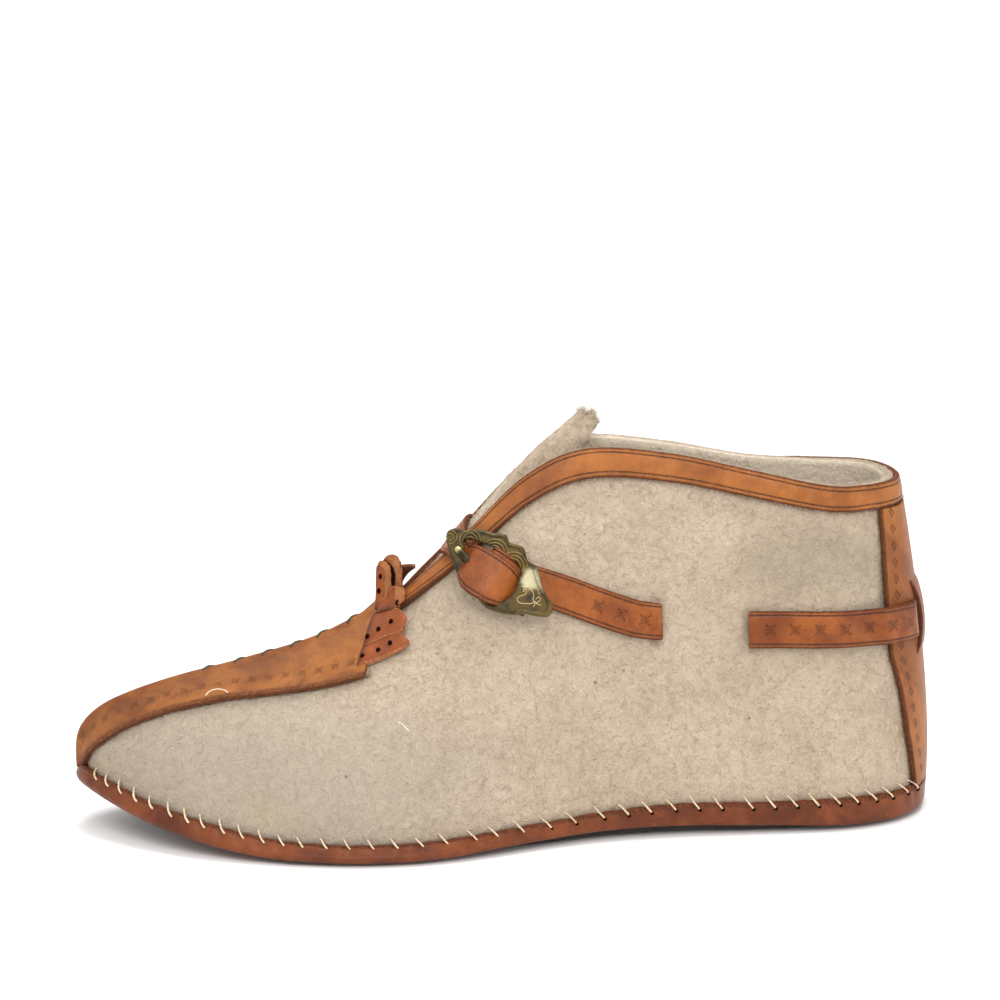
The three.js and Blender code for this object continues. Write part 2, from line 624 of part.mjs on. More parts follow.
// Scalloped outline and opening, along (of BUCKLE_LENGTH) and across (of BUCKLE_WIDTH)
const FRAME_OUTLINE = [
  [-0.50, 0.04], [-0.473, 0.19], [-0.39, 0.25], [-0.305, 0.38], [-0.20, 0.445], [-0.122, 0.52],
  [-0.059, 0.45], [0.044, 0.495], [0.124, 0.365], [0.215, 0.335], [0.334, 0.125], [0.468, -0.03],
  [0.483, -0.195], [0.405, -0.29], [0.332, -0.35], [0.263, -0.45], [0.168, -0.535], [0.063, -0.585],
  [-0.044, -0.54], [-0.122, -0.545], [-0.21, -0.47], [-0.293, -0.345], [-0.405, -0.18],
];
const FRAME_OPENING = [
  [-0.366, 0.11], [-0.317, 0.18], [-0.256, 0.215], [-0.098, 0.26], [0.061, 0.24], [0.137, 0.17],
  [0.156, 0], [0.171, -0.17], [0.156, -0.31], [0.098, -0.42], [-0.024, -0.475], [-0.122, -0.465],
  [-0.205, -0.4], [-0.239, -0.325], [-0.266, -0.18], [-0.322, -0.01],
];

function smoothLoop(table, steps) {
  const corners = table.map(([u, v]) => vec(u * BUCKLE_LENGTH, v * BUCKLE_WIDTH, 0));
  return new THREE.CatmullRomCurve3(corners, true).getPoints(steps).slice(0, -1)
    .map(({ x, y }) => new THREE.Vector2(x, y)).reverse();
}

function buckleFrame() {
  const shape = new THREE.Shape(smoothLoop(FRAME_OUTLINE, 56));
  shape.holes.push(new THREE.Path(smoothLoop(FRAME_OPENING, 32)));
  const plate = new THREE.ExtrudeGeometry(shape, { depth: BUCKLE_PLATE, bevelEnabled: false });
  plate.translate(0, 0, FRAME_BASE);
  const bar = new THREE.CylinderGeometry(BAR_DIAMETER / 2, BAR_DIAMETER / 2, 0.79 * BUCKLE_WIDTH, 10);
  bar.translate(BAR_PLACE * BUCKLE_LENGTH, -0.11 * BUCKLE_WIDTH, BAR_HEIGHT);
  const solid = toSolid(plate).add(toSolid(bar));
  return placeInBuckle(toGeometry(solid), BUCKLE.u, BUCKLE.v, BUCKLE.w);
}

function placeInBuckle(geometry, x, y, z) {
  geometry.applyMatrix4(new THREE.Matrix4().makeBasis(x, y, z));
  return geometry.translate(...BUCKLE.origin.toArray());
}

// Prong: a ring on the bar and an arm that rises through the strap and rests on the frame.
// The same outline, grown by the clearance, is its hole in the strap.
const PRONG_ACROSS = -0.11; // of BUCKLE_WIDTH
const PRONG_TIP = -0.40; // of BUCKLE_LENGTH
const PRONG_RING = 0.9;

function prongBlank(grow, bore) {
  const bar = { x: BAR_PLACE * BUCKLE_LENGTH, y: BAR_HEIGHT };
  const radius = BAR_DIAMETER / 2 + CLEARANCE + PRONG_RING + grow;
  const tip = PRONG_TIP * BUCKLE_LENGTH - grow;
  const rest = FRAME_BASE + BUCKLE_PLATE + CLEARANCE - grow;
  const shape = new THREE.Shape();
  shape.absarc(bar.x, bar.y, radius, Math.PI * 1.02, Math.PI * 0.42, false);
  shape.lineTo(-0.27 * BUCKLE_LENGTH, rest + 1.6 + 2 * grow);
  shape.lineTo(tip, rest + 1.1 + 2 * grow);
  shape.lineTo(tip, rest);
  shape.lineTo(-0.27 * BUCKLE_LENGTH, rest);
  if (bore) shape.holes.push(new THREE.Path().absarc(bar.x, bar.y, BAR_DIAMETER / 2 + CLEARANCE, 0, 2 * Math.PI, true));
  const width = PRONG + 2 * grow;
  const blank = new THREE.ExtrudeGeometry(shape, { depth: width, bevelEnabled: false, curveSegments: 10 });
  blank.translate(0, 0, -PRONG_ACROSS * BUCKLE_WIDTH - width / 2);
  return placeInBuckle(blank, BUCKLE.u, BUCKLE.w, BUCKLE.v.clone().negate());
}

const buckleProng = () => toGeometry(toSolid(prongBlank(0, true)));

// Ankle strap: a ribbon through stops. A stop has its place, the direction that its inner face looks,
// its thickness, width, the slant of its section, and the mitre of a corner at a slit.
function ribbon(stops) {
  const corners = stops.map((stop, k) => {
    const before = stops.slice(0, k).reverse().find((other) => other.ground.distanceTo(stop.ground) > 0.01);
    const after = stops.slice(k + 1).find((other) => other.ground.distanceTo(stop.ground) > 0.01);
    const heading = stop.heading?.clone()
      ?? (after ?? stop).ground.clone().sub((before ?? stop).ground).normalize();
    const across = stop.facing.clone().cross(heading).normalize();
    const inward = heading.clone().cross(across);
    if (stop.mitre) heading.projectOnPlane(stop.facing).normalize();
    const half = (stop.thick ?? STRAP) / 2;
    const sideways = across.addScaledVector(BUCKLE.u, stop.skew ?? 0)
      .multiplyScalar((stop.width ?? STRAP_WIDTH) / 2);
    const lean = heading.clone().multiplyScalar(half * (stop.mitre ?? 0));
    const inner = stop.place.clone().addScaledVector(inward, half).add(lean);
    const outer = stop.place.clone().addScaledVector(inward, -half).sub(lean);
    return [inner.clone().sub(sideways), inner.clone().add(sideways), outer.clone().add(sideways),
      outer.clone().sub(sideways)];
  });
  const skin = new Skin();
  skin.grid(corners.map((ring) => [...ring, ring[0]]));
  const [first, last] = [corners[0], corners.at(-1)];
  skin.patch(...first);
  skin.patch(...[...last].reverse());
  return skin.geometry();
}

// Front line of the strap on each wall, from the slit to the buckle
const STRAP_LINE = [
  { at: 0.352, height: 0.538 },
  { at: 0.371, height: 0.548 },
  { at: 0.409, height: 0.580 },
  { at: 0.447, height: 0.614 },
  { at: 0.4735, height: 0.6345 },
  { at: 0.496, height: 0.651 },
];
// Distance off the felt round the heel: over the sides of the heel strip and under its keeper
const HEEL_LINE = [[5.1, 0.2], [4.7, 0.2], [4.3, 0.2], [3.9, 0.2], [3.5, 0.2], [3.2, 0.5], [2.95, 1.1], [2.5, 1.1],
  [2.1, 1.1], [1.95, 1], [1.7, 0.45], [1.4, 0.05], [1, 0.05], [0.6, 0.05], [0.25, 0.05]];
// Free end over the throat: along the slope of the throat, sideways, out of it, from a point of the ridge
const CROSSING = [[9.0, 13.0, -2.0], [10.0, 8.0, 3.8], [10.0, 2.0, 6.6], [8.5, -3.5, 6.9],
  [4.5, -8.5, 5.6]];
const CROSSING_PLACE = { at: 0.5644, height: 0.722 };
const CROSSING_SLOPE = 44; // degrees of the throat

// Tail through the buckle: u and v in mm, share of the way up from under the frame to over the bar,
// slant of the section along u
const TAIL_LINE = [[-18, 0.4, -0.12, 0.4], [-14, -1.6, -0.04, 0.5], [-11.2, -2.5, 0, 0.6], [-9.6, -2.8, 0.22, 0.6],
  [-7.9, -3, 0.55, 0.5], [-5.7, -3, 0.92, 0.25], [-3.5, -3, 1, 0], [-1.7, -3, 1, 0], [-0.1, -3, 0.7, 0],
  [1.4, -3, 0.32, 0], [2.9, -3, 0, 0], [8.5, -3.1, 0, 0], [13, -3.2, 0, 0]];

function strapOnWall(side, place, off) {
  const { point, normal } = wallFrame(place, side);
  return { ground: point, place: point.clone().addScaledVector(normal, off), facing: normal.negate() };
}

// The strap turns at a slit: its section stands square to the slit there
function strapAtSlit(side, slit, off, mitre) {
  const place = wallPlace(side, slit.at, slit.height);
  const heading = wallFrame(place, side).along.multiplyScalar(side === LATERAL ? -1 : 1);
  return { ...strapOnWall(side, place, off), heading, mitre };
}

function strapStops() {
  const outside = OVER_FELT + STRAP / 2;
  const inside = -FELT - CLEARANCE - STRAP / 2;
  const atBar = BAR_PLACE * BUCKLE_LENGTH;
  const loose = (place, facing, more = {}) => ({ ground: place, place, facing, ...more });
  const down = BUCKLE.w.clone().negate();
  const foldAcross = -0.045 * BUCKLE_WIDTH;
  const skived = { thick: SKIVED, width: TAIL_WIDTH };
  const fold = [90, 135, 180, 225, 270].map((degrees) => {
    const angle = THREE.MathUtils.degToRad(degrees);
    const facing = BUCKLE.u.clone().multiplyScalar(Math.cos(angle)).addScaledVector(BUCKLE.w, Math.sin(angle));
    const place = inBuckle(atBar, foldAcross, BAR_HEIGHT).addScaledVector(facing, FOLD_RADIUS);
    return loose(place, facing, skived);
  });
  const end = BAR_HEIGHT + FOLD_RADIUS;
  const lateral = [
    loose(inBuckle(atBar + 1.2, foldAcross, end), BUCKLE.w, skived),
    ...fold,
    loose(inBuckle(atBar + 3.6, 0, OVER_FELT + 0.75 * STRAP), down, { thick: 0.75 * STRAP }),
    ...[...STRAP_LINE].reverse().map(({ at, height }) => (
      strapOnWall(LATERAL, wallPlace(LATERAL, at, height), outside))),
  ];
  const leg = (side, slit, mitre, order) => order.map((off) => strapAtSlit(side, slit, off, mitre));
  const inner = (side, from, to) => {
    const at = (from.at + to.at) / 2;
    const height = (from.height + to.height) / 2;
    return strapOnWall(side, wallPlace(side, at, height), inside);
  };
  const [rear, front] = SLITS;
  const z = heightOf(rear.height);
  const heelStop = (side) => ([s, up]) => strapOnWall(side, { s, rise: riseAt(s, z, side) },
    outside + up * (TRIM + CLEARANCE));
  const heel = [
    ...HEEL_LINE.map(heelStop(LATERAL)),
    heelStop(LATERAL)([0, 0.05]),
    ...[...HEEL_LINE].reverse().map(heelStop(MEDIAL)),
  ];
  const slope = THREE.MathUtils.degToRad(CROSSING_SLOPE);
  const along = vec(Math.cos(slope), 0, Math.sin(slope));
  const out = vec(-Math.sin(slope), 0, Math.cos(slope));
  const middle = vec(HEEL_REACH - BODY_LENGTH * CROSSING_PLACE.at, 0, heightOf(CROSSING_PLACE.height));
  const crossing = CROSSING.map(([run, sideways, rise]) => {
    const place = middle.clone().addScaledVector(along, run).addScaledVector(out, rise);
    place.y = sideways;
    const facing = vec(0, -sideways, 0).addScaledVector(out, -rise - 8).normalize();
    return loose(place, facing, { thick: TAIL + 0.2 });
  });
  const low = FRAME_BASE - CLEARANCE - TAIL / 2;
  const high = BAR_HEIGHT + FOLD_RADIUS + SKIVED / 2 + CLEARANCE + TAIL / 2;
  const free = TAIL_LINE.map(([u, v, share, skew]) => (
    loose(inBuckle(u, v, low + share * (high - low)), down, { thick: TAIL, width: TAIL_WIDTH, skew })));
  return [
    ...lateral,
    ...leg(LATERAL, front, -1, [outside, inside]),
    inner(LATERAL, front, rear),
    ...leg(LATERAL, rear, 1, [inside, outside]),
    ...heel,
    ...leg(MEDIAL, rear, -1, [outside, inside]),
    inner(MEDIAL, front, rear),
    ...leg(MEDIAL, front, 1, [inside, outside]),
    ...STRAP_LINE.map(({ at, height }) => strapOnWall(MEDIAL, wallPlace(MEDIAL, at, height), outside)),
    ...crossing,
    ...free,
  ];
}

function ankleStrap() {
  return toGeometry(toSolid(ribbon(strapStops())).subtract(toSolid(prongBlank(CLEARANCE, false))));
}

addPiece('outsole', outsole(), SOLE_BLACK, 0.8);
addPiece('sole', sole(), SOLE_BROWN, 0.55);
addPiece('insole', insole(), FELT_COLOR, 0.95);
addPiece('upper', upper(), FELT_COLOR, 0.95);
addPiece('tongue', tongue(), FELT_COLOR, 0.95);
addPiece('collar_band', collarBand(), TAN, 0.6);
addPiece('heel_strip', heelStrip(), TAN, 0.6);
addPiece('toe_strip', toeStrip(), TAN, 0.6);
addPiece('fringe', fringe(), RED_TAN, 0.6);
addPiece('ankle_strap', ankleStrap(), RED_TAN, 0.5);
addPiece('buckle_frame', buckleFrame(), BRASS, 0.4, 1);
addPiece('buckle_prong', buckleProng(), BRASS, 0.4, 1);

export default boot;
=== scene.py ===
import bpy
import bmesh
import math
import random
import numpy as np
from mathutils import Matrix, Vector, noise


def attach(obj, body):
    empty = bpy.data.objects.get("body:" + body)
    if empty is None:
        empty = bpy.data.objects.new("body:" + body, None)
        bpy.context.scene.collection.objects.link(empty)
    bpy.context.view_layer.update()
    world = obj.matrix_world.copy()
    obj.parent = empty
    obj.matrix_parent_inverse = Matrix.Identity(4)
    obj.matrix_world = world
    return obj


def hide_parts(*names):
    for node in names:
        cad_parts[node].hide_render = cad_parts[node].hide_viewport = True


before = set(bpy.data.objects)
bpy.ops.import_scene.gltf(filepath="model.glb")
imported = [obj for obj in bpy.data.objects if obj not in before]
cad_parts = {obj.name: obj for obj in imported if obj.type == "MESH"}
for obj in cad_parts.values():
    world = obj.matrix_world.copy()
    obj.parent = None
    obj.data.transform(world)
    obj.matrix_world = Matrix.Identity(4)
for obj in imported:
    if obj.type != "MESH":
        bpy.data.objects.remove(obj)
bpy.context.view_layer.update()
random.seed(7)
MM = 0.001

# Camera at the photograph's angle. Lengths are in mm and pixels are those of a 1000 x 1000 picture.
PICTURE, CENTRE, SENSOR, CLIP_END = 1000, 500, 36, 20
AZIMUTH, ELEVATION, DISTANCE = math.radians(-8), math.radians(12), 957.0
AIM = np.array([-100.5, -18.2, 105.3])
FOCAL = 3150.0
BACK = np.array([math.sin(AZIMUTH) * math.cos(ELEVATION), -math.cos(AZIMUTH) * math.cos(ELEVATION),
                 math.sin(ELEVATION)])
RIGHT = np.array([math.cos(AZIMUTH), math.sin(AZIMUTH), 0.0])
UP = np.cross(BACK, RIGHT)
EYE = AIM + BACK * DISTANCE


def project(points):
    away = np.asarray(points, float) - EYE
    depth = -(away @ BACK)
    return np.stack([CENTRE + FOCAL * (away @ RIGHT) / depth, CENTRE - FOCAL * (away @ UP) / depth], -1)


def on_ray(px, py, depth):
    return EYE + depth * (-BACK + RIGHT * (px - CENTRE) / FOCAL + UP * (CENTRE - py) / FOCAL)


def make_camera():
    data = bpy.data.cameras.new("camera")
    data.lens = FOCAL * SENSOR / PICTURE
    data.sensor_width = SENSOR
    data.clip_end = CLIP_END
    camera = bpy.data.objects.new("camera", data)
    camera.location = EYE * MM
    camera.rotation_euler = Vector(BACK).to_track_quat("Z", "Y").to_euler()
    bpy.context.scene.collection.objects.link(camera)
    bpy.context.scene.camera = camera


make_camera()

# The foot form, with the same named sizes and sections as the solids (mm)
BODY_LENGTH, BALL_WIDTH, COLLAR_RISE, HEEL_REACH, BULGE = 264, 90, 116, 37, 1.5
CLEARANCE, FELT, OUTSOLE, SOLE_LEATHER, INSOLE = 0.3, 3.2, 2.0, 1.8, 2.0
TRIM, STRAP, SKIVED, TAIL, TONGUE, FRINGE = 1.8, 2.0, 1.2, 1.6, 2.6, 1.6
RIM, ROLL, TUCK = 5.2, 3.2, 6.0
BAND_WIDTH, STRAP_WIDTH, STRIP_PINCH = 9.5, 11.5, 0.9
BUCKLE_LENGTH, BUCKLE_WIDTH, BUCKLE_PLATE, BAR_DIAMETER = 41, 20, 2.2, 2.0
PLATE_BOTTOM = OUTSOLE + CLEARANCE
PLATE_TOP = PLATE_BOTTOM + SOLE_LEATHER
FELT_EDGE = PLATE_TOP + CLEARANCE
OVER_FELT = CLEARANCE
COLUMNS = ["at", "lateral", "medial", "axis", "spring", "rim", "roll", "dip", "tuck",
           "topAt", "topHalf", "topHeight", "dome", "bulge"]
SECTIONS = np.array([
    [0.000, 0.000, 0.000, 0.000, 0.000, 1.00, 0.12, 0.50, 0.45, 0.0405, 0.000, 0.884, 0.00, 1.0],
    [0.0085, 0.105, 0.105, 0.000, 0.000, 1.00, 0.12, 0.50, 0.45, 0.045, 0.070, 0.885, 0.00, 1.0],
    [0.027, 0.195, 0.190, 0.000, 0.000, 1.00, 0.15, 0.50, 0.45, 0.059, 0.145, 0.884, 0.00, 1.0],
    [0.064, 0.272, 0.262, 0.000, 0.000, 1.00, 0.25, 0.50, 0.45, 0.091, 0.198, 0.882, 0.00, 1.0],
    [0.125, 0.315, 0.300, 0.000, 0.000, 1.00, 0.40, 0.60, 0.40, 0.136, 0.213, 0.886, 0.00, 1.0],
    [0.216, 0.314, 0.288, 0.000, 0.000, 0.95, 0.30, 1.10, 0.20, 0.216, 0.128, 0.916, 0.00, 1.0],
    [0.311, 0.304, 0.272, 0.000, 0.005, 0.90, 0.25, 1.20, 0.15, 0.314, 0.084, 0.962, 0.00, 1.0],
    [0.398, 0.320, 0.280, 0.000, 0.005, 0.72, 0.25, 1.20, 0.15, 0.413, 0.078, 0.980, 0.05, 1.0],
    [0.4735, 0.362, 0.316, 0.000, 0.000, 0.55, 0.45, 1.10, 0.20, 0.481, 0.073, 0.914, 0.15, 1.0],
    [0.538, 0.412, 0.366, 0.000, 0.000, 0.38, 0.80, 0.80, 0.40, 0.5435, 0.058, 0.771, 0.35, 1.0],
    [0.595, 0.450, 0.415, 0.000, 0.000, 0.22, 1.00, 0.40, 0.70, 0.5947, 0.033, 0.652, 0.60, 1.0],
    [0.648, 0.467, 0.448, 0.000, 0.000, 0.14, 1.00, 0.25, 0.95, 0.640, 0.000, 0.557, 0.80, 1.0],
    [0.716, 0.450, 0.452, 0.000, 0.000, 0.14, 1.00, 0.25, 1.00, 0.724, 0.000, 0.457, 0.95, 1.0],
    [0.792, 0.402, 0.410, 0.003, 0.005, 0.28, 0.85, 0.30, 1.00, 0.8106, 0.000, 0.398, 1.00, 1.0],
    [0.860, 0.332, 0.345, 0.008, 0.026, 0.45, 0.75, 0.35, 0.95, 0.886, 0.000, 0.356, 1.00, 0.8],
    [0.917, 0.250, 0.262, 0.016, 0.056, 0.45, 0.60, 0.35, 0.90, 0.943, 0.000, 0.311, 1.00, 0.7],
    [0.960, 0.163, 0.168, 0.025, 0.087, 0.40, 0.50, 0.35, 0.80, 0.979, 0.000, 0.266, 1.00, 0.4],
    [0.989, 0.080, 0.080, 0.031, 0.111, 0.32, 0.40, 0.35, 0.75, 0.9985, 0.000, 0.208, 1.00, 0.2],
    [1.000, 0.000, 0.000, 0.033, 0.119, 0.25, 0.40, 0.35, 0.75, 1.000, 0.000, 0.119, 1.00, 0.0],
])
LAST, THROAT, STEP = len(SECTIONS) - 1, 11, 0.02
WALL_LEAN, SWELL_LEAN, LEAN_UP, BISECTIONS = 1.6, 0.6, 0.5, 22
LATERAL, MEDIAL = -1, 1
Z = np.array([0.0, 0.0, 1.0])
HEELWARD, TOEWARD = np.array([1.0, 0, 0]), np.array([-1.0, 0, 0])
# the far side of the collar stands a little higher: section and share of the rise
FAR_RISE, FAR_SECTIONS, FAR_SHARES = 0.011, [0, 2.5, 5, 7.5, 9.5], [0, 1, 1, 1.6, 0]
# slits in the felt for the strap: share of the length, share of the rise
SLITS = [(0.227, 0.506), (0.337, 0.533)]


def spline(a, b, c, d, t):
    return b + 0.5 * t * (c - a + t * (2 * a - 5 * b + 4 * c - d + t * (3 * (b - c) + d - a)))


def column(name, s):
    """One column of the sections at the places s, smoothly between the rows."""
    values = SECTIONS[:, COLUMNS.index(name)]
    sign = -1 if name in ("lateral", "medial", "topHalf") else 1
    values = np.concatenate([[sign * values[1]], values, [sign * values[-2]]])
    s = np.asarray(s, float)
    i = np.clip(np.floor(s), 0, LAST - 1).astype(int)
    v = spline(values[i], values[i + 1], values[i + 2], values[i + 3], s - i)
    return np.where(i >= THROAT, 0, v) if name == "topHalf" else v


def lift(s):
    return COLLAR_RISE * np.maximum(0, column("spring", s))


def stack(x, y, z):
    return np.stack(np.broadcast_arrays(x, y, z), -1)


def unit(v):
    return v / np.maximum(np.linalg.norm(v, axis=-1, keepdims=True), 1e-9)


def together(*values):
    return np.broadcast_arrays(*[np.asarray(v, float) for v in values])


def side_where(outer):
    return np.where(outer, LATERAL, MEDIAL).astype(float)


def edge_point(s, side):
    half = BALL_WIDTH * np.where(np.asarray(side) < 0, column("lateral", s), column("medial", s))
    return stack(HEEL_REACH - BODY_LENGTH * column("at", s), BODY_LENGTH * column("axis", s) + side * half,
                 FELT_EDGE + lift(s))


def top_point(s, side):
    far = np.where(np.asarray(side) > 0, FAR_RISE, 0) * np.interp(s, FAR_SECTIONS, FAR_SHARES)
    return stack(HEEL_REACH - BODY_LENGTH * column("topAt", s),
                 BODY_LENGTH * column("axis", s) + side * BALL_WIDTH * column("topHalf", s),
                 FELT_EDGE + COLLAR_RISE * (column("topHeight", s) + far))


def out_in_plan(s, side):
    s = np.asarray(s, float)
    run = edge_point(s + STEP, side) - edge_point(s - STEP, side)
    side = np.asarray(side)
    v = unit(stack(side * run[..., 1], -side * run[..., 0], 0.0))
    v = np.where((s <= STEP)[..., None], HEELWARD, v)
    return np.where((s >= LAST - STEP)[..., None], TOEWARD, v)


def felt(s, rise, side):
    """Outer face of the felt. s: place along the foot, rise: 0 at the sole to 1 at the top."""
    s, rise, side = together(s, rise, side)
    low, high = edge_point(s, side), top_point(s, side)
    dome = column("dome", s)
    up = (1 - dome) * rise + dome * np.sin(rise * math.pi / 2)
    out = (1 - dome) * (1 - rise ** WALL_LEAN) + dome * np.cos(rise * math.pi / 2)
    swell = BULGE * column("bulge", s) * np.sin(math.pi * rise ** SWELL_LEAN)
    p = high + (low - high) * out[..., None] + out_in_plan(s, side) * swell[..., None]
    p[..., 2] = low[..., 2] + (high[..., 2] - low[..., 2]) * up
    return p


def side_normal(s, rise, side):
    ahead = felt(np.minimum(s + STEP, LAST - STEP), rise, side) - felt(np.maximum(s - STEP, 0), rise, side)
    ahead = np.where((s <= STEP)[..., None], np.array([0.0, 1.0, 0.0]), ahead)
    up = felt(s, np.minimum(1, rise + STEP), side) - felt(s, np.maximum(0, rise - STEP), side)
    n = unit(np.cross(ahead, up))
    outside = out_in_plan(s, side) + Z * (rise * LEAN_UP)[..., None]
    return n * np.where((n * outside).sum(-1) < 0, -1, 1)[..., None]


def felt_normal(s, rise, side):
    s, rise, side = together(s, rise, side)
    n = side_normal(s, rise, side)
    both = unit(side_normal(s, rise, 0 * side - 1) + side_normal(s, rise, 0 * side + 1))
    n = np.where(((rise >= 1) & (s >= THROAT))[..., None], both, n)
    n = np.where((rise <= 0)[..., None], out_in_plan(s, side), n)
    return np.where((s >= LAST - STEP)[..., None], TOEWARD, n)


def over_felt(s, rise, side, off):
    return felt(s, rise, side) + felt_normal(s, rise, side) * np.asarray(off)[..., None]


def halving(is_low, shape):
    """Bisection between 0 and 1 at every place of the shape."""
    low, high = np.zeros(shape), np.ones(shape)
    for _ in range(BISECTIONS):
        middle = (low + high) / 2
        below = is_low(middle)
        low, high = np.where(below, middle, low), np.where(below, high, middle)
    return low, high


def rise_at(s, z, side):
    s, z, side = together(s, z, side)
    low, high = halving(lambda rise: felt(s, rise, side)[..., 2] < z, s.shape)
    return (low + high) / 2


def height_of(share):
    return FELT_EDGE + COLLAR_RISE * share


def rim_top(s):
    return FELT_EDGE + lift(s) + RIM * column("rim", s)


def beside_felt(s, side, z, out):
    """Points out mm from the felt's foot, at the height z."""
    rise = np.where(s > LAST - STEP, 0, rise_at(s, z, side))
    p = felt(s, rise, side) + out_in_plan(s, side) * np.asarray(out)[..., None]
    p[..., 2] = z
    return p


def wall_place(side, at, height):
    """Section and rise at a share of the length and a share of the rise."""
    z = height_of(height)
    s = np.linspace(0, THROAT, 600)
    x = felt(s, rise_at(s, z, side), side)[..., 0]
    s = np.interp(-(HEEL_REACH - BODY_LENGTH * at), -x, s)
    return s, float(rise_at(s, z, side))


def wall_frame(side, s, rise):
    """Point on the felt, its normal and the way along it to the toe."""
    s, rise = np.array(float(s)), np.array(float(rise))
    ahead = felt(s + STEP, rise, side) - felt(s - STEP, rise, side)
    n = felt_normal(s, rise, side)
    ahead[2] = 0
    along = unit(ahead - n * (ahead @ n))
    return felt(s, rise, side), n, along


def share_at(rows, s):
    return np.interp(s, [row[0] for row in rows], [row[1] for row in rows])


# Meshes
MERGE, BEVEL_STEPS, BEVEL_ANGLE, STRIP_BEVEL = 1e-3, 3, math.radians(45), 0.45
TUBE_ASIDE = np.array([0.13, 0.27, 0.95])


def mesh_object(name, verts, faces, lay=None, bevel=0.0, merge=MERGE):
    """verts in mm. lay: a vector for each vertex, read by the materials."""
    mesh = bpy.data.meshes.new(name)
    mesh.from_pydata((np.asarray(verts, float) * MM).tolist(), [], faces)
    if lay is not None:
        layer = mesh.attributes.new("lay", "FLOAT_VECTOR", "POINT")
        layer.data.foreach_set("vector", np.asarray(lay, np.float32).ravel())
    shape = bmesh.new()
    shape.from_mesh(mesh)
    if merge:
        bmesh.ops.remove_doubles(shape, verts=shape.verts, dist=merge * MM)
    bmesh.ops.recalc_face_normals(shape, faces=shape.faces)
    shape.to_mesh(mesh)
    shape.free()
    obj = bpy.data.objects.new(name, mesh)
    bpy.context.scene.collection.objects.link(obj)
    if bevel:
        edge = obj.modifiers.new("edge", "BEVEL")
        edge.width = bevel * MM
        edge.segments = BEVEL_STEPS
        edge.limit_method = "ANGLE"
        edge.angle_limit = BEVEL_ANGLE
        edge.harden_normals = False
        bpy.context.view_layer.update()
        rounded = obj.evaluated_get(bpy.context.evaluated_depsgraph_get())
        obj.data = bpy.data.meshes.new_from_object(rounded)
        obj.modifiers.clear()
        bpy.data.meshes.remove(mesh)
        obj.data.name = name
    obj.data.shade_smooth()
    return obj


def piece(name, verts, faces, material, slot, node=None, **more):
    """A mesh with its material that rides on the body, and may take the place of a solid."""
    obj = mesh_object(name, verts, faces, **more)
    obj.data.materials.append(material)
    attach(obj, "root")
    if node:
        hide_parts(node)


def quads(rows, cols, base=0, wrap=False, turned=False):
    out = []
    for i in range(rows - 1):
        here = base + i * cols
        after = here + cols
        for j in range(cols if wrap else cols - 1):
            k = (j + 1) % cols
            q = (here + j, after + j, after + k, here + k)
            out.append(q[::-1] if turned else q)
    return out


def ends(rows, cols):
    """Faces that close the first and the last row of a wrapped grid."""
    return [tuple(range(cols))[::-1], tuple((rows - 1) * cols + k for k in range(cols))]


def loop_caps(rows, cols):
    """Quads across the first and the last loop of a grid made by round_outline."""
    faces = []
    for row in (0, rows - 1):
        first, last = row * cols, row * cols + cols - 1
        for k in range((cols + 1) // 2 - 1):
            q = (first + k, first + k + 1, last - 1 - k, last - k)
            if len(set(q)) == 4:
                faces.append(q)
    return faces


def round_outline(ring):
    """A loop of points: along the outer side to the toe, and back along the inner side."""
    return np.concatenate([ring(LATERAL), ring(MEDIAL)[::-1][1:]])


def sheet_mesh(outer, inner):
    """A closed sheet between two grids of points."""
    r, c = outer.shape[:2]
    verts = np.concatenate([outer.reshape(-1, 3), inner.reshape(-1, 3)])
    n = r * c
    faces = quads(r, c) + quads(r, c, n, turned=True)
    rim = ([j for j in range(c)] + [i * c + c - 1 for i in range(1, r)]
           + [(r - 1) * c + j for j in range(c - 2, -1, -1)] + [i * c for i in range(r - 2, 0, -1)])
    for a, b in zip(rim, rim[1:] + rim[:1]):
        faces.append((a, b, b + n, a + n))
    return verts, faces


def along_mm(points, axis=0):
    step = np.linalg.norm(np.diff(points, axis=axis), axis=-1)
    zero = np.zeros_like(np.take(step, [0], axis=axis))
    return np.concatenate([zero, np.cumsum(step, axis=axis)], axis=axis)


def lay_of(outer):
    """Run along the rows, distance to the last column, distance to the nearer side edge (mm)."""
    run = along_mm(outer, 0)
    run = run[:, [run.shape[1] // 2]] + 0 * run
    across = along_mm(outer, 1)
    rest = across[:, [-1]] - across
    return np.stack([run, rest, np.minimum(across, rest)], -1)


def edge_lay(s, rise, side):
    lay = lay_of(over_felt(s, rise, side, 0 * s))
    lay[..., 1] = lay[..., 2]
    return lay


def overlay(name, s, rise, side, inner, outer, material, node=None, lay=None):
    """A leather strip between two heights over the felt."""
    outside = over_felt(s, rise, side, np.broadcast_to(outer, s.shape))
    inside = over_felt(s, rise, side, np.broadcast_to(inner, s.shape))
    verts, faces = sheet_mesh(outside, inside)
    lay = (lay_of(outside) if lay is None else lay).reshape(-1, 3)
    piece(name, verts, faces, material, "trim_leather", node,
          lay=np.concatenate([lay, lay]), bevel=STRIP_BEVEL)


def smooth_rows(points, factor, closed=False):
    """Catmull-Rom through rows of points, factor steps between two rows."""
    p = np.asarray(points, float)
    if closed:
        extended = np.concatenate([p[-1:], p, p[:2]])
    else:
        extended = np.concatenate([2 * p[:1] - p[1:2], p, 2 * p[-1:] - p[-2:-1]])
    out = []
    for i in range(len(extended) - 3):
        for k in range(factor):
            out.append(spline(*extended[i:i + 4], k / factor))
    if not closed:
        out.append(p[-1])
    return np.array(out)


